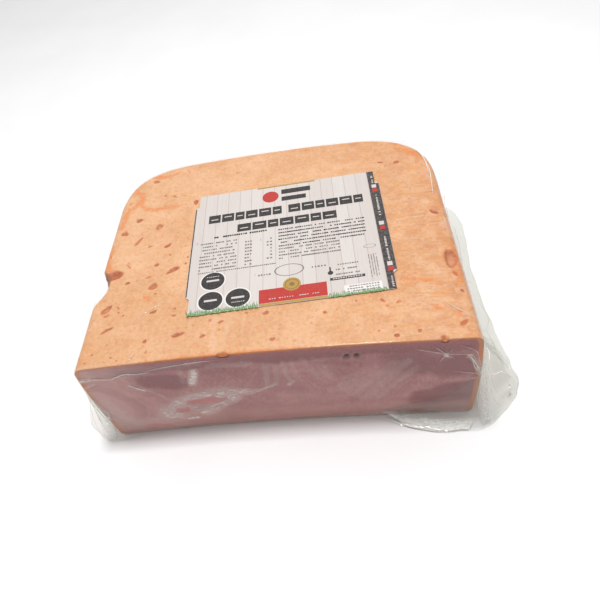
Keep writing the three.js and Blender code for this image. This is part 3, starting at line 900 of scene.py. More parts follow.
def film_material(name, tint, milk_tint, haze, crinkle, grain):
    """Blown polyethylene and polyamide film: clear and glossy. A white diffuse layer lies in it where it is folded
    or
    stands off the meat: partly the film's own haze, partly painted glare, painted glints and painted light. Its
    attributes say where that white is (milk), has fine wrinkles along X (taut) or along Y (drawn) whose
    crests get painted glints, is greyer from more layers (thick) and hardly shines (calm)."""
    material, put = new_material(name)
    where = put(COORDS).outputs["Object"]
    read = {
        key: put(ATTRIBUTE, attribute_name=key).outputs["Fac"]
        for key in ("milk", "taut", "drawn", "thick", "calm")
    }
    fine = put(NOISE, {"Vector": where, "Scale": per(grain), "Detail": 3.0, "Roughness": 0.6, "Distortion": 0.6})
    coarse = put(NOISE, {"Vector": where, "Scale": per(grain * 3.5), "Detail": 2.0, "Distortion": 1.0})
    height = put(MATH, {0: fine, 1: 0.4, 2: coarse}, operation="MULTIPLY_ADD")
    # Fine wrinkles raise the film's bump, and their crests get painted glints of white.
    haze_streaks = 0.0
    for key, scale, size in (("taut", (0.12, 1, 1), 1.1), ("drawn", (1, 0.07, 1), 2.6)):
        stretched = put(MAPPING, {"Vector": where, "Scale": scale})
        wrinkle = put(NOISE, {"Vector": stretched, "Scale": per(size), "Detail": 3.0})
        raised = put(MATH, {0: wrinkle, 1: read[key]}, operation="MULTIPLY")
        height = put(MATH, {0: raised, 1: height}, operation="ADD")
        sharp = put(RANGE, {0: wrinkle, 1: 0.5, 2: 0.72, 4: 0.13}, **EASED)
        haze_streaks = put(MATH, {0: sharp, 1: read[key], 2: haze_streaks}, operation="MULTIPLY_ADD")
    bump = put(BUMP, {"Height": height, "Strength": crinkle, "Distance": 0.5 * MM})
    slant = put(MAPPING, {"Vector": where, "Rotation": (0, math.radians(24), 0), "Scale": (0.45, 1, 1)})
    veil = put(NOISE, {"Vector": slant, "Scale": per(1.8), "Detail": 5.0, "Roughness": 0.7, "Distortion": 1.2})
    ragged = put(MATH, {0: veil, 1: 0.5}, operation="SUBTRACT")
    ragged = put(MATH, {0: ragged, 1: 1.9, 2: read["milk"]}, operation="MULTIPLY_ADD")
    ragged = put(RANGE, {0: ragged, 1: 0.34, 2: 0.95, 4: 0.5}, **EASED)
    held = put(RANGE, {0: read["milk"], 1: 0.0, 2: 0.12}, **EASED)
    ragged = put(MATH, {0: ragged, 1: held}, operation="MULTIPLY")
    # The white diffuse share: the film's own haze, painted glare, painted light and painted glints along the
    # wrinkles.
    cloudy = put(MATH, {0: read["milk"], 1: 0.5, 2: haze}, operation="MULTIPLY_ADD")
    cloudy = put(MATH, {0: cloudy, 1: ragged}, operation="ADD")
    cloudy = put(MATH, {0: cloudy, 1: haze_streaks}, operation="ADD", use_clamp=True)
    tinted = put(MIX, {0: read["thick"], 6: rgba(tint), 7: rgba(THICK_TINT)}, **COLOUR)
    clear = put("ShaderNodeBsdfTransparent", {"Color": tinted})
    milky = put("ShaderNodeBsdfDiffuse", {"Color": rgba(milk_tint), "Normal": bump})
    body = put(MIX_SHADER, {0: cloudy, 1: clear, 2: milky})
    shine = put("ShaderNodeBsdfGlossy", {"Color": (1, 1, 1, 1), "Roughness": 0.1, "Normal": bump})
    edge = put(MATH, {0: put("ShaderNodeFresnel", {"IOR": 1.5, "Normal": bump}), 1: 0.6}, operation="MULTIPLY")
    most = put(RANGE, {0: read["calm"], 3: 0.15, 4: 0.02})
    edge = put(MATH, {0: edge, 1: most}, operation="MINIMUM")
    put(OUTPUT, {"Surface": put(MIX_SHADER, {0: edge, 1: body, 2: shine})})
    return material


def paper_material():
    """Coated label paper: satin white, printed with a ground of pale limed boards, their grain and small knots."""
    c = colours()
    material, put = new_material("coated_label_paper")
    uv = put("ShaderNodeUVMap", uv_map="UVMap")
    board = put(MATH, {0: put(SPLIT, {0: uv}), 1: BOARD_WIDTH}, operation="DIVIDE")
    number = put(MATH, {0: board}, operation="FLOOR")
    shade = put("ShaderNodeTexWhiteNoise", {"W": number}, noise_dimensions="1D")
    shade = put(MATH, {0: shade, 1: 0.55}, operation="MULTIPLY")
    base = put(MIX, {0: shade, 6: rgba(c.paper), 7: rgba(c.board)}, **COLOUR)
    gap = put(MATH, {0: put(MATH, {0: board}, operation="FRACT"), 1: 0.5}, operation="SUBTRACT")
    gap = put(MATH, {0: gap}, operation="ABSOLUTE")
    base = tinge(put, base, c.board_gap, gap, 0.45, 0.495, 0.55)
    long = put(MAPPING, {"Vector": uv, "Scale": (1.6, 0.06, 1)})
    grain = put(NOISE, {"Vector": long, "Scale": 1.0, "Detail": 4.0, "Roughness": 0.6})
    base = tinge(put, base, c.board_grain, grain, 0.5, 0.75, 0.4)
    cells = put(VORONOI, {"Vector": put(MAPPING, {"Vector": uv, "Scale": (1, 0.4, 1)}), "Scale": 0.11})
    base = tinge(put, base, c.board_gap, cells.outputs["Distance"], 0.075, 0.03, 0.55)
    put(OUTPUT, {"Surface": put(PRINCIPLED, {"Base Color": base, "Roughness": 0.38, "IOR": 1.5})})
    return material


def ink_material(name, colour, speckle, metallic=0.0):
    """Printed ink on coated paper: even and satin, with the faint mottle of the press."""
    material, put = new_material(name)
    where = put(COORDS).outputs["Object"]
    mottle = put(NOISE, {"Vector": where, "Scale": per(0.9), "Detail": 3.0, "Roughness": 0.6})
    base = tinge(put, rgba(colour), WORN_INK, mottle, 0.35, 0.7, speckle)
    finish = {"Base Color": base, "Roughness": 0.36, "IOR": 1.5, "Metallic": metallic}
    put(OUTPUT, {"Surface": put(PRINCIPLED, finish)})
    return material


def studio_card_material():
    """Matt white card of the studio."""
    material, put = new_material("studio_card")
    where = put(COORDS).outputs["Object"]
    base = tinge(put, rgba(CARD), CARD_SHADE, put(NOISE, {"Vector": where, "Scale": per(90)}), 0.3, 0.7)
    put(OUTPUT, {"Surface": put(PRINCIPLED, {"Base Color": base, "Roughness": 0.9, "Specular IOR Level": 0.1})})
    return material


# ---------------------------------------------------------------------------------------- the operators


# Distance between the meshes' rings, in the meat and in the film, and the radius of the film's cut edges.
MEAT_RINGS, FILM_RINGS, FILM_EDGE = 1.35, 1.0, 1.0
# The lean shows between these shares of the cut edge's rounding, from the base and from the top.
LEAN_FROM, LEAN_TO = 0.5, 0.35


class PORKPACK_OT_meat(bpy.types.Operator):
    """Build the block of smoked pork with its pits, its dent and its cut face"""

    bl_idname = "pork_pack.meat"
    bl_label = "Smoked Pork"

    def execute(self, context):
        size = sizes()
        step = size.grain / MM
        edge = size.cut_rounding / MM
        skin = BlockSkin(0.0, MEAT_RINGS, edge, step, lambda loop: meat_cap(loop, step))
        co, values = shape_meat(skin)
        faces = skin.faces()
        kinds = np.zeros(len(faces), int)
        column = np.arange(len(skin.quads)) % skin.count
        low, high = skin.co[skin.quads[:, 0], 2], skin.co[skin.quads[:, 3], 2]
        lean = (column >= skin.front_start) & (low > edge * LEAN_FROM) & (high < HEIGHT - edge * LEAN_TO)
        kinds[: len(skin.quads)][lean] = 1
        made = mesh_object("pork_meat", co, faces, [smoked_skin_material(), cut_meat_material()], values, kinds)
        finish_piece(made, "smoked_pork", "pork_block")
        return {"FINISHED"}


CLING_TINT, LOOSE_TINT, CREASE_TINT = "#fcfcfc", "#fafbfa", "#f9faf9"
THICK_TINT = "#eff1ee"
# Tints of the white diffuse layer, which is partly the film's haze and partly painted glare.
CLING_MILK, LOOSE_MILK = "#fdf0e9", "#f6f5ef"
WORN_INK, CARD, CARD_SHADE = "#a9a19d", "#f8f8f8", "#f5f5f5"
CUT_FOLD_GAP, TOP_FOLD_GAP, SKIRT_FOLD_GAP = 0.45, 0.22, 0.35

# Painted glare where the film of the cut face stands off the meat, painted light over the left of the cut face
# and a painted highlight along its foot: broken lines in x and z, width, strength.
AIR_PATCHES = [
    ([(-66, 18), (-58, 24), (-48, 28), (-32, 30)], 7.5, 0.7),
    ([(-60, 27), (-52, 31), (-40, 33), (-28, 33), (-19, 32.4)], 3.0, 0.66),
    ([(-47, 16), (-38, 21.5), (-27, 28)], 4.0, 0.6),
    ([(-73, 14), (-66, 20)], 3.6, 0.5),
    ([(-58, 10.6), (-53, 11)], 1.4, 0.85),
    ([(-49, 15.6), (-45, 16)], 1.3, 0.85),
    ([(-20, 31), (-12, 33), (-4, 36.6)], 1.3, 0.6),
    ([(-43.2, 54), (-44.4, 49.5), (-47, 44)], 2.3, 0.85),
    ([(-50, 57), (-51.5, 45)], 1.3, 0.3),
    ([(-80.5, 48), (-74, 41.6)], 0.7, 1.0),
    ([(-104, 56), (-97, 56.6)], 1.6, 0.8),
    ([(-103, 50), (-98, 52)], 1.1, 0.5),
    ([(84, 54), (85.4, 52)], 1.1, 0.9),
    ([(96, 52), (99, 47), (101.5, 38), (102.5, 35)], 1.4, 0.7),
    ([(-6, 54), (-6.4, 46), (-7.6, 38)], 1.5, 0.32),
    ([(-1, 54), (-1, 46), (-2.6, 38)], 1.4, 0.3),
    ([(3.5, 55), (3.6, 47), (5.5, 39)], 1.4, 0.34),
    ([(8, 54), (8.4, 47), (10, 40)], 1.3, 0.26),
    ([(14, 57), (16.5, 49), (19.5, 41)], 1.3, 0.22),
    ([(20, 57), (23.5, 48), (27, 40)], 1.3, 0.2),
    ([(6.6, 38.5), (3.6, 35.5)], 1.2, 0.55),
    ([(36, 22), (46, 34), (60, 48)], 3.0, 0.22),
    ([(44, 20), (52, 32), (66, 50)], 2.4, 0.3),
    ([(50, 20), (58, 30), (70, 44)], 2.2, 0.22),
    ([(30, 30), (44, 36), (58, 40)], 3.0, 0.2),
    ([(-34, 57.5), (-14, 57)], 2.2, 0.3),
    ([(-83, 55), (-74, 44), (-62, 30)], 0.8, 0.35),
    ([(-100, 30), (-96, 24)], 3.5, 0.3),
    ([(-103, 40), (-98, 20), (-88, 9), (-70, 7)], 7.0, 0.4),
    ([(-106, 62), (-90, 60), (-70, 60)], 5.0, 0.32),
    ([(-85, 58), (-60, 60), (-40, 61)], 2.4, 0.25),
    ([(-100, 2.4), (-50, 2.2), (0, 2.2), (60, 2.2), (98, 2.4)], 1.0, 0.5),
]
# Gaps in the painted glare where the film touches the meat.
AIR_GAPS = [([(-52, 25.6), (-39, 27)], 2.6), ([(-60, 19.4), (-56.5, 19.4)], 2.2), ([(-36, 26), (-33, 27)], 1.2)]
# How strong the painted glare on the cut face's film is, and the painted glint on the film in the dent.
MILK_SHARE, DENT_MILK = 0.75, 0.42
# Where the film stands off the right side, in y and z, and how far; its slack, and its height above the top.
BULGE_CENTRE, BULGE_REACH, BULGE = (48.0, 50.0), (24.0, 9.0), 3.2
SLACK, TOP_GAP = 0.12, 0.2


class PORKPACK_OT_film(bpy.types.Operator):
    """Build the film that clings to the block"""

    bl_idname = "pork_pack.film"
    bl_label = "Clinging Film"

    def execute(self, context):
        size = sizes()
        step = size.film_grain / MM
        gap = size.film_gap / MM

        def cap(loop):
            """Points of the film over the top."""
            even = hex_points(loop, step * 1.5)
            return even[inside(even, loop, step)]

        skin = BlockSkin(gap, FILM_RINGS, FILM_EDGE, step * 0.6, cap)
        co = skin.co.copy()
        normals = normals_of(co, skin)
        x, y, z = co.T
        up = normals[:, 2] > 0.7
        along, up_side = (np.exp(-(((at - c) / r) ** 2)) for at, c, r in zip((y, z), BULGE_CENTRE, BULGE_REACH))
        bulge = BULGE * along * up_side * (normals[:, 0] > 0.1) * (x > 60)
        # Painted glare on the film of the cut face, with painted light at its left and a painted highlight along
        # its foot.
        air = np.zeros(len(co))
        plane = co[:, [0, 2]]
        for line, width, strength in AIR_PATCHES:
            near, _ = distance_to(plane, line)
            air = np.maximum(air, strength * smooth(1.4 - 0.85 * near / width) * skin.front)
        for line, width in AIR_GAPS:
            near, _ = distance_to(plane, line)
            air *= 1 - 0.9 * smooth(1.4 - 0.85 * near / width)
        slack = np.where(up, 0.0, SLACK) * rough(co, 7, 5)
        co, hollow = press_dent(co, DENT_FILM_SHARE)
        # Painted glints on the film in the front part of the dent.
        air = np.maximum(air, DENT_MILK * smooth(hollow / 4) * smooth((-18 - y) / 18))
        co += normals * (bulge + slack)[:, None]
        co[:, 2] = np.where(up & (co[:, 2] > HEIGHT - 1), HEIGHT + TOP_GAP, co[:, 2])
        co[:, 2] = np.maximum(co[:, 2], 0.0)
        # Fine wrinkles: along X at the right of the top, along Y near its front edge.
        taut = up * smooth((x - 55) / 25) * smooth((95 - y) / 60)
        drawn = up * smooth((-56 - y) / 6) * smooth((62 - np.abs(x + 6)) / 30)
        made = mesh_object(
            "film_cling",
            co,
            skin.faces(),
            [film_material("clear_vacuum_film", CLING_TINT, CLING_MILK, 0.015, 0.16, 5.0)],
            {"milk": MILK_SHARE * air, "taut": taut, "drawn": drawn, "calm": smooth(hollow)},
        )
        finish_piece(made, "clear_film")
        return {"FINISHED"}


# The skirt of loose film: root on the block, foot on the table, height at the root, hollowness of its sag.
SKIRT = [
    ((-104, -34), (-106, -34), 3, 2.1),
    ((-104, -50), (-113, -49), 12, 2.1),
    ((-104, -66), (-126, -64), 34, 1.15),
    ((-104.5, -79), (-124, -76), 54, 1.15),
    ((-105, -85.3), (-116, -84.5), 52, 2.1),
    ((-104.5, -86.2), (-108.5, -90), 46, 2.1),
    ((-98, -86), (-99, -90.3), 22, 2.1),
    ((-84, -85.4), (-84.5, -87.8), 6, 2.1),
    ((-40, -84.6), (-40, -86.5), 3, 2.1),
    ((20, -85), (20, -86.9), 3, 2.1),
    ((44, -85.8), (46, -88.6), 4, 2.1),
    ((60, -86.3), (62, -94.2), 9, 2.1),
    ((78, -87), (80, -99.5), 16, 2.1),
    ((94, -87.6), (96, -100), 30, 2.1),
    ((102.5, -88), (107, -97.5), 50, 2.1),
    ((103.4, -87.2), (122, -84), 55, 2.1),
    ((103.2, -78), (128.5, -72), 50, 1.15),
    ((102, -60), (127, -58), 36, 1.15),
    ((101, -32), (123.5, -34), 27, 2.1),
    ((100, 0), (120.5, -3), 25, 2.1),
    ((99, 28), (119.5, 28), 25, 2.1),
    ((97.6, 54), (121.5, 58), 23, 2.1),
    ((92, 71), (116, 84), 15, 2.1),
    ((82, 80), (92, 92), 5, 2.1),
]
LIP = 0.9
PLEATS, PLEAT_DEPTH = 23, 0.022
SKIRT_RUN, FOLD_SPACING = 420.0, 3.2
# Points along and strips across the skirt, points of a layer, and how much narrower a layer is at its foot.
SKIRT_GRID, LAYER_GRID, LAYER_TAPER = (640, 26), (60, 30), 0.45

# Folded layers that lie on the skirt: places along it, places out from the block, lift, milkiness. The milkiness
# of the layers before the cut face's right half and at its left front corner is painted light over the block's
# shadow.
LAYERS = [
    ((0.694, 0.786), (0.0, 0.82), 0.9, 0.04),
    ((0.592, 0.622), (0.05, 0.86), 1.2, 0.4),
    ((0.45, 0.6), (0.08, 0.94), 0.5, 0.85),
    ((0.18, 0.25), (0.06, 0.9), 0.6, 0.4),
]


def skirt_at(place, out):
    """Points of the loose film, from its place along the skirt and how far out it is, both from 0 to 1."""
    roots = spline([s[0] for s in SKIRT], place)
    feet = spline([s[1] for s in SKIRT], place)
    hang = spline([s[2:] for s in SKIRT], place)
    turns = 2 * math.pi * PLEATS * place
    pleat = 1 + PLEAT_DEPTH * (0.6 * np.sin(turns) + 0.4 * np.sin(1.7 * turns + 1))
    reach = (feet - roots) * pleat[:, None]
    level = LIP + np.maximum(hang[:, 0] - LIP, LIP) * (1 - out) ** hang[:, 1]
    flat = np.column_stack([roots + reach * out[:, None], level])
    length = np.linalg.norm(reach, axis=1)
    weight = np.sin(np.clip(out, 0, 1) * np.pi) ** 0.6 * smooth(length / 14)
    ribs = np.column_stack([place * SKIRT_RUN / FOLD_SPACING, out * 1.6, np.zeros(len(out))])
    fold = np.clip(1 - np.abs(rough(ribs, 1.0, 3)) * 2.4, 0, 1) ** 2
    flat[:, 2] += weight * (0.6 * fold + 0.6 * rough(flat, 9, 7))
    return np.column_stack([flat[:, :2], np.maximum(flat[:, 2], 0.1)])


def grid_faces(rows, columns):
    """Quads between rows of points, in the order that turns their fronts up."""
    first = np.arange(columns - 1)[None, :] + (np.arange(rows - 1) * columns)[:, None]
    a = first.ravel()
    return np.column_stack([a, a + columns, a + columns + 1, a + 1])


class PORKPACK_OT_skirt(bpy.types.Operator):
    """Build the loose flaps of film that slope from the block to the table, and the layers folded on them"""

    bl_idname = "pork_pack.skirt"
    bl_label = "Loose Film"

    def execute(self, context):
        along, across = SKIRT_GRID
        wide, tall = LAYER_GRID
        place = np.linspace(0, 1, along)
        rows = [skirt_at(place, np.full(along, k / across)) for k in range(across + 1)]
        co = [np.vstack(rows)]
        faces = [grid_faces(len(rows), along)]
        milk = [np.zeros(len(co[0]))]
        for places, outs, lift, strength in LAYERS:
            u, v = (a.ravel() for a in np.meshgrid(np.linspace(0, 1, wide), np.linspace(0, 1, tall)))
            at = (places[0] + places[1]) / 2 + (u - 0.5) * (places[1] - places[0]) * (1 - LAYER_TAPER * v)
            sheet = skirt_at(at, outs[0] + (outs[1] - outs[0]) * v)
            arch = np.sin(np.pi * u) ** 0.5
            sheet[:, 2] += lift * (0.35 + 0.65 * arch) + 0.12 * rough(sheet, 6, 4) * arch
            start = sum(len(c) for c in co)
            co.append(sheet)
            faces.append(grid_faces(tall, wide) + start)
            milk.append(np.full(len(sheet), strength))
        co = np.vstack(co)
        x, y, z = co.T
        # Before the right half of the cut face the film lies so close that it hardly shines.
        calm = smooth((z - 1.5) / 6) * smooth((104 - x) / 3) * smooth((-84 - y) / 1.5) * (x > 0)
        made = mesh_object(
            "film_skirt",
            co,
            np.vstack(faces).tolist(),
            [film_material("clear_loose_film", LOOSE_TINT, LOOSE_MILK, 0.02, 0.22, 4.5)],
            {"milk": np.concatenate(milk) * (1 - calm), "thick": smooth((x - 104) / 8), "calm": calm},
        )
        finish_piece(made, "clear_film", "bag_skirt")
        return {"FINISHED"}


# ---------------------------------------------------------------------------------------- node trees


def new_tree(name, sockets):
    """An empty Geometry Nodes tree with named inputs, its function that adds, and its input node."""
    tree = bpy.data.node_groups.new(name, "GeometryNodeTree")
    tree.interface.new_socket("Geometry", in_out="INPUT", socket_type="NodeSocketGeometry")
    for key, kind in sockets.items():
        tree.interface.new_socket(key, in_out="INPUT", socket_type="NodeSocket" + kind)
    tree.interface.new_socket("Geometry", in_out="OUTPUT", socket_type="NodeSocketGeometry")
    put = partial(add, tree)
    return tree, put, put("NodeGroupInput").outputs


def grow(piece, tree, **values):
    """Gives a piece the tree as a modifier, its named inputs set by their sockets' identifiers."""
    made = piece.modifiers.new(tree.name, "NODES")
    made.node_group = tree
    for item in tree.interface.items_tree:
        if item.in_out == "INPUT" and item.name in values:
            value = values[item.name]
            made[item.identifier] = float(value) if item.socket_type == "NodeSocketFloat" else value


def settle(piece):
    """Turns what the modifiers make into the piece's own plain mesh, and takes the modifiers off."""
    graph = bpy.context.evaluated_depsgraph_get()
    grown = piece.evaluated_get(graph)
    made = bpy.data.meshes.new_from_object(grown, preserve_all_data_layers=True, depsgraph=graph)
    piece.modifiers.clear()
    piece.data = made
    if not made.polygons:
        raise RuntimeError(f"{piece.name} grew no faces")
    return made


# A fold's ridge: what its arch comes down to at the tips, how bluntly it swells, its sides and its step.
FOLD_TIP, FOLD_TAPER, FOLD_SIDES, FOLD_STEP = 0.01, 0.6, 6, 0.8


def crease_tree():
    """Sharp folds of film: a thin round ridge along each line, tapered to a point at both ends."""
    tree, put, given = new_tree("film_creases", {"Spacing": "Float", "Film": "Material"})
    lines = put("GeometryNodeMeshToCurve", {0: given["Geometry"]})
    lines = put("GeometryNodeResampleCurve", {0: lines, "Length": given["Spacing"]}, mode="LENGTH")
    # The half width follows an arch that never quite comes to nothing, so no face collapses.
    along = put("GeometryNodeSplineParameter").outputs["Factor"]
    arch = put(MATH, {0: put(MATH, {0: along, 1: math.pi}, operation="MULTIPLY")}, operation="SINE")
    arch = put(MATH, {0: put(MATH, {0: arch, 1: FOLD_TIP}, operation="MAXIMUM"), 1: FOLD_TAPER}, operation="POWER")
    wide = put("GeometryNodeInputNamedAttribute", {"Name": "half_width"}, data_type="FLOAT").outputs["Attribute"]
    radius = put(MATH, {0: wide, 1: arch}, operation="MULTIPLY")
    profile = put("GeometryNodeCurvePrimitiveCircle", {"Resolution": FOLD_SIDES, "Radius": 1.0})
    tube = put("GeometryNodeCurveToMesh", {0: lines, 1: profile, "Scale": radius, "Fill Caps": True})
    made = put("GeometryNodeSetMaterial", {0: put("GeometryNodeRealizeInstances", {0: tube}), 2: given["Film"]})
    put("NodeGroupOutput", {"Geometry": made})
    return tree


# Folds in the film: where they run, half width and milkiness, which paints their glints white. On the cut
# face in x and z, on the top in x and y, on the skirt in place along it and out.
CUT_FOLDS = [
    (
        [(-104, 56), (-99, 56.2), (-95, 56.6), (-88, 55.2), (-84, 56.5), (-79, 58), (-73, 57), (-66, 57.4)],
        0.26,
        0.9,
    ),
    ([(-70, 57.2), (-62, 59.5), (-54, 60.4), (-42, 61.6), (-30, 62)], 0.14, 0.6),
    ([(-80.4, 48.2), (-77, 45), (-73.8, 41.6)], 0.3, 1.0),
    ([(-19, 29.8), (-15, 31.2), (-10, 34), (-4.5, 36.8)], 0.12, 0.6),
    ([(70, 59.5), (77, 57), (84, 54.6), (91, 53.6), (99, 52.6)], 0.15, 0.7),
    ([(79.5, 60), (84.8, 54)], 0.14, 0.6),
    ([(88.5, 58.5), (84.8, 54)], 0.12, 0.5),
    ([(84.8, 54), (81.5, 48)], 0.14, 0.6),
    ([(84.8, 54), (90, 49)], 0.1, 0.4),
    ([(91, 60.5), (98.5, 56), (100.6, 49), (102, 42)], 0.14, 0.6),
    ([(95, 53.5), (99, 46), (102.6, 36.5)], 0.22, 0.9),
    ([(97, 50), (99.4, 41), (103, 36)], 0.16, 0.8),
    ([(88, 40), (95, 38), (103, 36)], 0.12, 0.5),
    ([(93, 31), (99, 33), (103, 36)], 0.12, 0.5),
    ([(-102, 48), (-96, 50), (-90, 49)], 0.12, 0.5),
]
TOP_FOLDS = [
    ([(20.9, -56.5), (25, -68), (31, -82)], 0.1, 0.3),
    ([(-78, -57), (-69, -49), (-60, -42.5)], 0.18, 0.35),
    ([(-75, -83), (-71.5, -77.5)], 0.2, 0.5),
    ([(-93, -36), (-80, -30), (-66, -22)], 0.09, 0.3),
    ([(66, -2), (76, -12), (88, -20)], 0.09, 0.3),
    ([(70, -40), (80, -52), (92, -60)], 0.09, 0.3),
    ([(82, 80.5), (88, 73), (92, 65.5), (94, 55), (94.4, 44)], 0.26, 0.95),
    ([(75, 84), (84, 80.5), (90, 74)], 0.16, 0.7),
    ([(94, 60), (95.2, 46), (94.6, 33), (93.8, 21)], 0.22, 0.8),
    ([(88, -64), (94, -70), (97.5, -73)], 0.2, 0.6),
    ([(96, 6), (97, -2), (96.6, -12)], 0.15, 0.4),
]
SIDE_FOLDS = [
    ([(100.4, 70, 58), (104, 55, 52), (104.4, 44, 47), (102.6, 32, 44)], 0.22, 0.7),
    ([(98, 74, 52), (103.4, 60, 40), (103.6, 44, 34), (101.8, 30, 36)], 0.18, 0.5),
    ([(100.6, 24, 62), (102.4, 12, 50), (103, 0, 38)], 0.18, 0.5),
    ([(-101.5, -20, 63), (-99.4, -23, 55), (-100.8, -30, 47)], 0.22, 0.7),
    ([(-104.5, -36, 60), (-103.4, -32, 50), (-106, -28, 42)], 0.2, 0.6),
]
SKIRT_FOLDS = [
    ([(0.645, 0.14), (0.668, 0.34), (0.685, 0.5), (0.69, 0.64), (0.695, 0.82)], 0.3, 1.0),
    ([(0.704, 0.1), (0.69, 0.18), (0.668, 0.16)], 0.34, 1.0),
    ([(0.786, 0.62), (0.782, 0.8), (0.762, 0.82), (0.735, 0.8), (0.704, 0.88)], 0.2, 0.45),
    ([(0.818, 0.86), (0.81, 0.96), (0.798, 0.95), (0.784, 0.78), (0.774, 0.56)], 0.16, 0.25),
    ([(0.444, 0.62), (0.473, 0.9), (0.493, 0.97), (0.51, 0.98), (0.537, 0.97)], 0.3, 1.0),
    ([(0.452, 0.42), (0.478, 0.7), (0.5, 0.84), (0.53, 0.88)], 0.2, 0.55),
    ([(0.462, 0.3), (0.487, 0.55), (0.51, 0.7), (0.545, 0.74)], 0.17, 0.4),
    ([(0.475, 0.24), (0.5, 0.42), (0.528, 0.56), (0.558, 0.6)], 0.15, 0.35),
    ([(0.592, 0.16), (0.594, 0.5), (0.6, 0.84)], 0.18, 0.6),
    ([(0.622, 0.14), (0.618, 0.4), (0.607, 0.84)], 0.22, 0.7),
    ([(0.634, 0.2), (0.638, 0.5), (0.64, 0.8)], 0.16, 0.4),
    ([(0.648, 0.24), (0.652, 0.5), (0.656, 0.76)], 0.14, 0.3),
    ([(0.672, 0.72), (0.679, 0.8), (0.684, 0.76)], 0.5, 1.0),
    ([(0.72, 0.2), (0.715, 0.5), (0.706, 0.78)], 0.13, 0.25),
    ([(0.745, 0.1), (0.742, 0.4), (0.736, 0.7)], 0.13, 0.2),
    ([(0.84, 0.2), (0.842, 0.55), (0.838, 0.9)], 0.13, 0.25),
    ([(0.87, 0.1), (0.872, 0.5), (0.868, 0.92)], 0.13, 0.22),
    ([(0.9, 0.2), (0.9, 0.55), (0.904, 0.95)], 0.13, 0.25),
    ([(0.935, 0.7), (0.9, 0.76), (0.862, 0.74), (0.818, 0.66)], 0.18, 0.45),
    ([(0.205, 0.06), (0.222, 0.2), (0.238, 0.36), (0.25, 0.66)], 0.22, 0.7),
    ([(0.196, 0.12), (0.2, 0.36), (0.212, 0.6), (0.232, 0.82)], 0.18, 0.6),
    ([(0.175, 0.1), (0.176, 0.42), (0.186, 0.74), (0.214, 0.9)], 0.12, 0.35),
    ([(0.136, 0.2), (0.136, 0.55), (0.146, 0.8), (0.176, 0.94)], 0.12, 0.3),
    ([(0.11, 0.1), (0.112, 0.45), (0.12, 0.85)], 0.13, 0.35),
    ([(0.1, 0.98), (0.13, 0.985), (0.165, 0.98), (0.2, 0.985)], 0.1, 0.2),
    ([(0.56, 0.96), (0.6, 0.985), (0.64, 0.985), (0.69, 0.985), (0.74, 0.985)], 0.16, 0.5),
    ([(0.74, 0.985), (0.79, 0.985), (0.84, 0.985), (0.9, 0.985), (0.96, 0.98)], 0.13, 0.4),
]


def fold_lines():
    """Every fold as points of the frame, with its half width and milkiness, which paints its glint white."""
    for folds, laid, density in (
        (CUT_FOLDS, lambda p: np.column_stack([p[:, 0], cut_at(p[:, 0]) - CUT_FOLD_GAP, p[:, 1]]), 5),
        (TOP_FOLDS, lambda p: np.column_stack([p, np.full(len(p), HEIGHT + TOP_FOLD_GAP)]), 5),
        (SIDE_FOLDS, lambda p: p, 5),
        (SKIRT_FOLDS, lambda p: skirt_at(p[:, 0], np.clip(p[:, 1], 0, 1)) + (0, 0, SKIRT_FOLD_GAP), 6),
    ):
        for line, wide, milk in folds:
            yield laid(spline(line, np.linspace(0, 1, density * len(line)))), wide, milk


class PORKPACK_OT_creases(bpy.types.Operator):
    """Grow the sharp folds of the film along their lines"""

    bl_idname = "pork_pack.creases"
    bl_label = "Film Creases"

    def execute(self, context):
        co, edges, widths, milks = [], [], [], []
        start = 0
        for points, wide, milk in fold_lines():
            co.append(points)
            edges += [(start + k, start + k + 1) for k in range(len(points) - 1)]
            widths += [wide * MM * sizes().crease_scale] * len(points)
            milks += [milk] * len(points)
            start += len(points)
        values = {"half_width": widths, "milk": milks}
        made = mesh_object("film_creases", np.vstack(co), [], [], values, edges=edges)
        film = film_material("folded_clear_film", CREASE_TINT, LOOSE_MILK, 0.05, 0.05, 4.0)
        grow(made, crease_tree(), Spacing=FOLD_STEP * MM, Film=film)
        settle(made)
        finish_piece(made, "clear_film")
        return {"FINISHED"}


LABEL_CENTRE = np.array([6.6, -2.25])
LABEL_TURN = math.radians(2.7)
LABEL_WIDTH, LABEL_LENGTH = 112.0, 104.0
LABEL_EAR, LABEL_EAR_FROM, LABEL_EAR_TO, LABEL_CORNER = 2.3, -38.0, 39.0, 1.6
LABEL_EDGE_STEP, LABEL_STEP, LABEL_MARGIN = 2, 2.5, 1.2
BOARD_WIDTH = 7.4
# Room between one layer of the print and the next.
PRINT_GAP = 0.035


def label_outline():
    """The label's own outline, anticlockwise, in u across and v towards the back."""
    u, v, c, ear = LABEL_WIDTH / 2, LABEL_LENGTH / 2, LABEL_CORNER, LABEL_EAR

    def corner(cu, cv, start):
        """A quarter turn round a corner's middle."""
        turn = np.radians(start + np.linspace(0, 90, 6))
        return [(cu + c * math.cos(t), cv + c * math.sin(t)) for t in turn]

    return np.array(
        [
            *corner(-u + c, -v + c, 180),
            *corner(u - c, -v + c, 270),
            (u, LABEL_EAR_FROM - ear),
            (u + ear, LABEL_EAR_FROM),
            (u + ear, LABEL_EAR_TO),
            (u, LABEL_EAR_TO + ear),
            *corner(u - c, v - c, 0),
            *corner(-u + c, v - c, 90),
            (-u, LABEL_EAR_TO + ear),
            (-u - ear, LABEL_EAR_TO),
            (-u - ear, LABEL_EAR_FROM),
            (-u, LABEL_EAR_FROM - ear),
        ]
    )


def label_lift(uv):
    """How far the label stands above its flat place: slack waves and a lifted left edge."""
    u, v = np.asarray(uv)[:, 0], np.asarray(uv)[:, 1]
    wave = 0.06 * np.sin(u / 17 + 0.6) * np.sin(v / 21)
    lifted = 0.14 * smooth((-u - 50) / 8)
    return 0.06 + wave + lifted


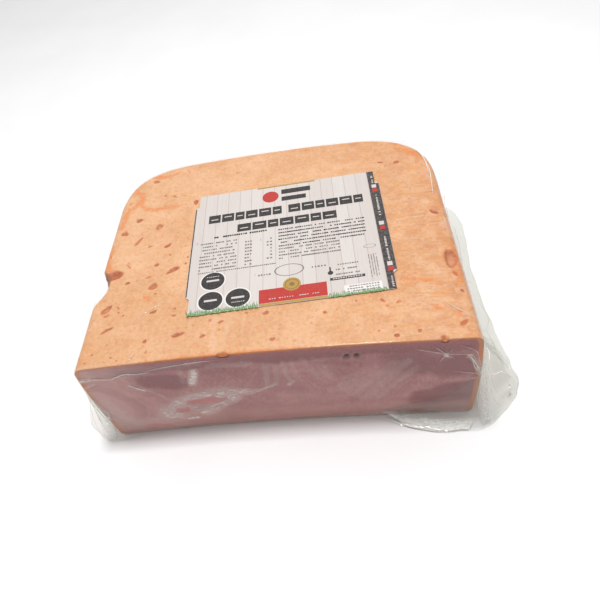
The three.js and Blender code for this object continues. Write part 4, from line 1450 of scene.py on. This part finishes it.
def on_label(points, above):
    """Label places u, v as points of the frame, `above` the paper's underside."""
    points = np.asarray(points, float)
    a = LABEL_TURN
    x = LABEL_CENTRE[0] + points[:, 0] * math.cos(a) - points[:, 1] * math.sin(a)
    y = LABEL_CENTRE[1] + points[:, 0] * math.sin(a) + points[:, 1] * math.cos(a)
    return np.column_stack([x, y, LABEL_UNDERSIDE + label_lift(points) + above])


class PORKPACK_OT_label(bpy.types.Operator):
    """Build the label's paper"""

    bl_idname = "pork_pack.label"
    bl_label = "Label Paper"

    def execute(self, context):
        thick = sizes().paper / MM
        corners = label_outline()
        dense = []
        for a, b in zip(corners, np.roll(corners, -1, axis=0)):
            dense.append(straight(a, b, max(1, round(np.linalg.norm(b - a) / LABEL_EDGE_STEP))))
        loop = np.vstack(dense)
        points = hex_points(loop, LABEL_STEP)
        points = points[inside(points, loop, LABEL_MARGIN)]
        triangles = fill(loop, points)
        flat = np.vstack([loop, points])
        count = len(flat)
        co = np.vstack([on_label(flat, thick), on_label(flat, 0)])
        here = np.arange(len(loop))
        beside = (here + 1) % len(loop)
        sides = np.column_stack([count + here, count + beside, beside, here])
        faces = [*triangles.tolist(), *(triangles[:, ::-1] + count).tolist(), *sides.tolist()]
        made = mesh_object("label_paper", co, faces, [paper_material()], uv=np.vstack([flat, flat]))
        made.data.polygons.foreach_set("use_smooth", np.zeros(len(faces), bool))
        finish_piece(made, "printed_label", "label")
        return {"FINISHED"}


# ------------------------------------------------------------------------------------------------ print


def disc(u, v, radius, sides=40, hole=0.0, tall=1.0):
    """A printed disc or ring, as points and faces in label places."""
    t = np.arange(sides) * 2 * math.pi / sides
    rim = np.column_stack([u + radius * np.cos(t), v + radius * tall * np.sin(t)])
    if hole <= 0:
        return rim, [list(range(sides))]
    inner = np.column_stack([u + hole * np.cos(t), v + hole * tall * np.sin(t)])
    ring_faces = [[k, (k + 1) % sides, sides + (k + 1) % sides, sides + k] for k in range(sides)]
    return np.vstack([rim, inner]), ring_faces


def bar(u0, u1, v0, v1):
    """A printed oblong, cut across so that it follows the paper."""
    columns = max(1, round(abs(u1 - u0) / 6)) + 1
    rows = max(1, round(abs(v1 - v0) / 6)) + 1
    points = np.array([(a, b) for b in np.linspace(v0, v1, rows) for a in np.linspace(u0, u1, columns)])
    return points, grid_faces(rows, columns)[:, ::-1].tolist()


def title_blocks(u0, u1, v0, v1, words):
    """A heading as upright blocks of uneven width with wider gaps between groups, and the pale slots in them."""
    letter_gap, word_gap = 0.9, 4.2
    count = sum(words)
    gaps = letter_gap * (count - len(words)) + word_gap * (len(words) - 1)
    widths = np.array([1.0 + 0.18 * math.sin(2.1 * k + 0.4) for k in range(count)])
    widths *= (u1 - u0 - gaps) / widths.sum()
    blocks, slots, u, k = [], [], u0, 0
    tall = v1 - v0
    for word in words:
        for _ in range(word):
            blocks.append(bar(u, u + widths[k], v0, v1))
            middle = u + widths[k] * 0.5
            level = v0 + tall * (0.36, 0.56, 0.46)[k % 3]
            slots.append(bar(middle - 0.3 * widths[k], middle + 0.3 * widths[k], level, level + 0.8))
            u += widths[k] + letter_gap
            k += 1
        u += word_gap - letter_gap
    return blocks, slots


def print_layout():
    """Every plain field of the print: ink, height of its layer, points and faces."""
    fields = []

    def lay(ink, layer, *shapes):
        """Adds shapes of one ink at one height."""
        fields.extend((ink, layer, *shape) for shape in shapes)

    for block in (title_blocks(-49, 47, 23, 30.5, (6, 6)), title_blocks(-30.6, 30, 11.6, 18.6, (7,))):
        lay("dark", 1, *block[0])
        lay("pale", 2, *block[1])
    lay("red", 1, disc(-10, 41, 5.2, 40, 0, 1.05))
    lay("dark", 1, bar(-3, 15.5, 42.2, 46.8), bar(-3, 12.5, 35.2, 39.4))
    for u, v in ((-43.3, -27.8), (-43.8, -42.9), (-28.6, -43.1)):
        lay("white", 1, disc(u, v, 7.5))
        lay("dark", 2, disc(u, v, 6.7))
        lay("pale", 3, bar(u - 3.6, u + 3.6, v - 0.5, v + 0.9))
    lay("grey", 1, disc(0, -27, 8.4, 48, 7.7, 0.55))
    lay("red", 1, bar(-17, 20, -50, -40))
    lay("gold", 1, bar(-17, 20, -51.8, -50.2), bar(-18.3, 18.8, 50.6, 51.9))
    lay("gold", 2, disc(1.2, -38.4, 4.9))
    lay("bronze", 3, disc(1.2, -38.4, 3.9, 40, 3.5), disc(1.2, -38.4, 1.4))
    lay("dark", 1, disc(22.6, -34, 1.5), bar(22.2, 23, -33, -29.5))
    lay("dark", 1, bar(22, 41, -40, -38))
    lay("white", 2, bar(29, 49, -51, -45))
    lay("grey", 1, disc(46, -17, 3.5, 32, 3.1, 0.42))
    lay("charcoal", 1, bar(52, 56, -51.8, 51.8), bar(56, 58.2, -38, 39), bar(-58.2, -57.5, -38, 39))
    for v in (32.4, -3.0, -37.0):
        lay("red", 2, bar(53.6, 56.6, v - 1.6, v + 1.6))
        lay("pale", 2, bar(53.6, 56.4, v + 2.4, v + 5.6))
    return fields


def end_print_tree(tree, put, given, grown):
    """Inks what grew, joins it to what came in, and ends the tree."""
    inked = put("GeometryNodeSetMaterial", {0: grown, 2: given["Ink"]})
    both = put("GeometryNodeJoinGeometry", {0: given["Geometry"]})
    tree.links.new(inked.outputs[0], both.inputs[0])
    put("NodeGroupOutput", {"Geometry": both})
    return tree


def word_rows_tree():
    """Rows of small print as short bars: even rows, bars of uneven length, some left out."""
    inputs = {"Left": "Float", "Front": "Float", "Width": "Float", "Depth": "Float", "Rows": "Int", "Words": "Int"}
    inputs |= {"Letter Height": "Float", "Bar": "Float", "Kept": "Float", "Above": "Float", "Seed": "Int"}
    tree, put, given = new_tree("label_word_rows", inputs | {"Ink": "Material"})
    size = {"Size X": given["Width"], "Size Y": given["Depth"], "Vertices X": given["Words"]}
    grid = put("GeometryNodeMeshGrid", size | {"Vertices Y": given["Rows"]})
    points = put("GeometryNodeMeshToPoints", {0: grid})
    draws = [
        put("FunctionNodeRandomValue", {2: low, 3: high, 8: given["Seed"], 7: put("GeometryNodeInputIndex")})
        for low, high in ((0.0, 1.0), (0.55, 1.15))
    ]
    dropped = put("FunctionNodeCompare", {0: draws[0], 1: given["Kept"]}, operation="GREATER_THAN")
    points = put("GeometryNodeDeleteGeometry", {0: points, 1: dropped})
    quad = put("GeometryNodeMeshGrid", {0: 1.0, 1: 1.0, 2: 2, 3: 2})
    long = put(MATH, {0: draws[1], 1: given["Bar"]}, operation="MULTIPLY")
    scale = put("ShaderNodeCombineXYZ", {0: long, 1: given["Letter Height"], 2: 1.0})
    bars = put("GeometryNodeInstanceOnPoints", {"Points": points, "Instance": quad, "Scale": scale})
    bars = put("GeometryNodeRealizeInstances", {0: bars})
    half = [put(MATH, {0: given[key], 1: 0.5}, operation="MULTIPLY") for key in ("Width", "Depth")]
    corner = [put(MATH, {0: given[key], 1: h}, operation="ADD") for key, h in zip(("Left", "Front"), half)]
    place = put("ShaderNodeCombineXYZ", {0: corner[0], 1: corner[1], 2: given["Above"]})
    return end_print_tree(tree, put, given, put("GeometryNodeTransform", {0: bars, 1: place}))


def blade_row_tree():
    """A row of printed blades of grass: triangles of uneven height that lean either way."""
    inputs = {"Left": "Float", "Width": "Float", "Foot": "Float", "Blades": "Int", "Height": "Float"}
    inputs |= {"Above": "Float", "Seed": "Int", "Ink": "Material"}
    tree, put, given = new_tree("label_blade_row", inputs)
    pitch = put(MATH, {0: given["Width"], 1: given["Blades"]}, operation="DIVIDE")
    start = put("ShaderNodeCombineXYZ", {0: given["Left"], 1: given["Foot"], 2: given["Above"]})
    line = {"Count": given["Blades"], "Start Location": start, "Offset": put("ShaderNodeCombineXYZ", {0: pitch})}
    points = put("GeometryNodeMeshToPoints", {0: put("GeometryNodeMeshLine", line)})
    index = put("GeometryNodeInputIndex")
    tall, wide, lean = (
        put("FunctionNodeRandomValue", {2: low, 3: high, 7: index, 8: put(MATH, {0: given["Seed"], 1: shift})})
        for shift, low, high in ((0.0, 0.45, 1.3), (7.0, 0.25, 0.55), (13.0, 0.95, 2.2))
    )
    tall = put(MATH, {0: tall, 1: given["Height"]}, operation="MULTIPLY")
    blade = put("GeometryNodeMeshCircle", {"Vertices": 3, "Radius": 1.0}, fill_type="NGON")
    scale = put("ShaderNodeCombineXYZ", {0: tall, 1: wide, 2: 1.0})
    turn = put("ShaderNodeCombineXYZ", {2: lean})
    row = {"Points": points, "Instance": blade, "Rotation": turn, "Scale": scale}
    blades = put("GeometryNodeRealizeInstances", {0: put("GeometryNodeInstanceOnPoints", row)})
    return end_print_tree(tree, put, given, blades)


# Rows of small print: ink, left, front, width, depth, rows, bars in a row, height, bar length, share kept.
WORD_ROWS = [
    ("dark", -44, 9.2, 31, 0, 1, 24, 1.25, 1.15, 0.93),
    ("grey", -52, -18.0, 21, 22.5, 9, 17, 0.9, 1.1, 0.72),
    ("grey", -25, -18.0, 3, 19.5, 8, 3, 0.95, 1.2, 0.9),
    ("grey", -12, -18.0, 2, 19.5, 8, 2, 0.95, 1.1, 0.8),
    ("grey", -52, -20.4, 44, 0, 1, 38, 0.6, 1.0, 0.9),
    ("dark", -5, -6.5, 50, 14.5, 6, 40, 0.85, 1.15, 0.86),
    ("grey", -5, -17.0, 34, 8.0, 4, 27, 0.85, 1.15, 0.84),
    ("grey", -17, -28.5, 6, 0, 1, 5, 1.0, 1.0, 1.0),
    ("grey", 13, -27.5, 7, 0, 1, 5, 1.0, 1.0, 1.0),
    ("grey", 26, -35.8, 12, 7.4, 3, 10, 0.8, 1.1, 0.85),
    ("pale", 24, -39, 15, 0, 1, 12, 0.8, 1.0, 0.9),
    ("grey", 31, -49.7, 16, 3.6, 3, 12, 0.7, 1.1, 0.8),
    ("grey", 44.5, -41, 4, 17, 22, 4, 0.6, 0.45, 0.8),
    ("pale", -11, -47.5, 26, 0, 1, 20, 0.6, 1.0, 0.9),
    ("pale", 55.2, 6, 0, 21, 18, 1, 0.8, 1.2, 0.8),
    ("pale", 55.2, -30, 0, 21, 18, 1, 0.8, 1.2, 0.8),
    ("pale", 54.6, 40, 0, 8, 7, 1, 0.8, 1.2, 0.8),
    ("pale", 54.6, -50, 0, 7, 6, 1, 0.8, 1.2, 0.8),
    ("pale", -46.5, -24.6, 6.4, 0, 1, 7, 0.6, 0.8, 0.8),
    ("pale", -31.6, -46.2, 6.4, 0, 1, 7, 0.6, 0.8, 0.9),
]
# Rows of blades: ink, left, width, foot, blades, height.
BLADE_ROWS = [
    ("green", -56.3, 39.5, -50.9, 34, 3.4),
    ("light_green", -56.3, 39.5, -51.2, 40, 2.6),
    ("green", 20.7, 31, -51.0, 26, 2.8),
    ("light_green", 20.7, 31, -51.2, 30, 2.1),
]
# Layers that the rows take in turn.
WORD_LAYERS, BLADE_LAYERS = (4,), (4, 5)


class PORKPACK_OT_print(bpy.types.Operator):
    """Build the label's print: plain fields, rows of small bars and a grassy edge"""

    bl_idname = "pork_pack.print"
    bl_label = "Label Print"

    def execute(self, context):
        c = colours()
        # Inks: colour, how mottled, how metallic.
        inks = {
            "dark": (c.ink, 0.1),
            "charcoal": (c.charcoal, 0.25),
            "grey": ("#6f6663", 0.2),
            "red": (c.red, 0.1),
            "gold": (c.gold, 0.15, 0.3),
            "bronze": ("#8d6a2c", 0.15, 0.3),
            "white": ("#e2ddda", 0.05),
            "pale": ("#cbc4c0", 0.05),
            "green": (c.green, 0.15),
            "light_green": (c.light_green, 0.15),
        }
        inks = {key: ink_material(f"{key}_print", *finish) for key, finish in inks.items()}
        names = list(inks)
        points, faces, kinds = [], [], []
        start = 0
        top = sizes().paper / MM
        for ink, layer, shape, polygons in print_layout():
            points.append(on_label(shape, top + PRINT_GAP * layer))
            faces += [[start + i for i in polygon] for polygon in polygons]
            kinds += [names.index(ink)] * len(polygons)
            start += len(shape)
        made = mesh_object("label_print", np.vstack(points), faces, list(inks.values()), None, kinds)
        finish_piece(made, "printed_label")
        small = mesh_object("label_small_print", [], [], [])
        word_keys = ("Left", "Front", "Width", "Depth", "Rows", "Words", "Letter Height", "Bar", "Kept")
        blade_keys = ("Left", "Width", "Foot", "Blades", "Height")
        for tree, keys, rows, layers in (
            (word_rows_tree(), word_keys, WORD_ROWS, WORD_LAYERS),
            (blade_row_tree(), blade_keys, BLADE_ROWS, BLADE_LAYERS),
        ):
            for seed, (ink, *values) in enumerate(rows):
                above = PRINT_GAP * layers[seed % len(layers)]
                grow(small, tree, **dict(zip(keys, values)), Above=above, Seed=seed, Ink=inks[ink])
        mesh = settle(small)
        flat = np.empty(3 * len(mesh.vertices), np.float32)
        mesh.vertices.foreach_get("co", flat)
        flat = flat.reshape(-1, 3).astype(float)
        laid = on_label(flat[:, :2], top + flat[:, 2]) * MM
        mesh.vertices.foreach_set("co", laid.astype(np.float32).ravel())
        mesh.update()
        finish_piece(small, "printed_label")
        return {"FINISHED"}


CAMERA_PLACE = (50.6, -265.3, 294.2)
CAMERA_PITCH, CAMERA_ROLL, CAMERA_YAW = 46.66, -12.84, 9.75
FOCAL_PIXELS, FRAME_PIXELS, SENSOR = 596.4, 600.0, 36.0
LAMP_PLACE, LAMP_AIM, LAMP_SIDE, LAMP_WATTS = (0, 30, 1000), (0, 0, 20), 150, 6.5
SKY_FRONT, SKY_BACK = 0.22, 0.80
FLOOR_REACH, FLOOR_LEVEL = 3000.0, -0.02


class PORKPACK_OT_studio(bpy.types.Operator):
    """Lay the floor, hang the light and set the camera"""

    bl_idname = "pork_pack.studio"
    bl_label = "Studio"

    def execute(self, context):
        scene = context.scene
        far, low = FLOOR_REACH, FLOOR_LEVEL
        corners = [(-far, -far, low), (far, -far, low), (far, far, low), (-far, far, low)]
        floor = mesh_object("studio_floor", corners, [[0, 1, 2, 3]], [studio_card_material()])
        light = bpy.data.lights.new("overhead_softbox", "AREA")
        light.shape = "RECTANGLE"
        light.size = light.size_y = LAMP_SIDE * MM
        light.energy = LAMP_WATTS
        lamp = bpy.data.objects.new("overhead_softbox", light)
        lamp.location = Vector(LAMP_PLACE) * MM
        lamp.rotation_euler = (Vector(LAMP_AIM) - Vector(LAMP_PLACE)).to_track_quat("-Z", "Y").to_euler()
        scene.collection.objects.link(lamp)
        self.hang_sky(scene)
        scene.view_settings.view_transform = "Standard"
        scene.view_settings.look = "None"
        camera = bpy.data.cameras.new("studio_camera")
        camera.sensor_width = SENSOR
        camera.lens = FOCAL_PIXELS / FRAME_PIXELS * camera.sensor_width
        camera.clip_start, camera.clip_end = 0.01, 20.0
        eye = bpy.data.objects.new("studio_camera", camera)
        pitch, roll, yaw = (math.radians(a) for a in (CAMERA_PITCH, CAMERA_ROLL, CAMERA_YAW))
        turn = Matrix.Rotation(yaw, 3, "Z")
        ahead = turn @ Vector((0, math.cos(pitch), -math.sin(pitch)))
        level = turn @ Vector((1, 0, 0))
        over = level.cross(ahead)
        right = math.cos(roll) * level + math.sin(roll) * over
        above = -math.sin(roll) * level + math.cos(roll) * over
        basis = Matrix((right, above, -ahead)).transposed().to_4x4()
        eye.matrix_world = Matrix.Translation(Vector(CAMERA_PLACE) * MM) @ basis
        scene.collection.objects.link(eye)
        scene.camera = eye
        return {"FINISHED"}

    def hang_sky(self, scene):
        """White studio walls and ceiling, brighter behind and above, and a little to the left."""
        world = bpy.data.worlds.new("studio_air")
        world.use_nodes = True
        tree = world.node_tree
        put = partial(add, tree)
        tree.nodes["Background"].inputs["Color"].default_value = (1, 1, 1, 1)
        way = put(SPLIT, {0: put(COORDS).outputs["Generated"]}).outputs
        behind = put(MATH, {0: way[2], 1: 0.4, 2: way[1]}, operation="MULTIPLY_ADD")
        behind = put(MATH, {0: way[0], 1: -0.25, 2: behind}, operation="MULTIPLY_ADD")
        strength = put(RANGE, {0: behind, 1: -0.9, 2: 0.9, 3: SKY_FRONT, 4: SKY_BACK}, **EASED)
        tree.links.new(strength.outputs[0], tree.nodes["Background"].inputs["Strength"])
        scene.world = world


OPERATORS = (
    PORKPACK_OT_meat,
    PORKPACK_OT_film,
    PORKPACK_OT_skirt,
    PORKPACK_OT_creases,
    PORKPACK_OT_label,
    PORKPACK_OT_print,
    PORKPACK_OT_studio,
)


class PORKPACK_PT_panel(bpy.types.Panel):
    """Lists the steps, the sizes and the colours"""

    bl_label = "Pork Pack"
    bl_idname = "PORKPACK_PT_panel"
    bl_space_type = "VIEW_3D"
    bl_region_type = "UI"
    bl_category = "Pork Pack"

    def draw(self, context):
        column = self.layout.column()
        for operator in OPERATORS:
            column.operator(operator.bl_idname)
        for group in (context.scene.pork_pack_sizes, context.scene.pork_pack_colours):
            box = self.layout.box()
            for key in group.__annotations__:
                box.prop(group, key)


CLASSES = (PorkPackSizes, PorkPackColours, *OPERATORS, PORKPACK_PT_panel)


def register():
    for kind in CLASSES:
        bpy.utils.register_class(kind)
    bpy.types.Scene.pork_pack_sizes = bpy.props.PointerProperty(type=PorkPackSizes)
    bpy.types.Scene.pork_pack_colours = bpy.props.PointerProperty(type=PorkPackColours)


def unregister():
    del bpy.types.Scene.pork_pack_sizes
    del bpy.types.Scene.pork_pack_colours
    for kind in reversed(CLASSES):
        bpy.utils.unregister_class(kind)


def main():
    register()
    for operator in OPERATORS:
        step = operator.bl_idname.split(".")[1]
        if getattr(bpy.ops.pork_pack, step)() != {"FINISHED"}:
            raise RuntimeError(f"the step {step} did not finish")


if __name__ == "__main__":
    main()
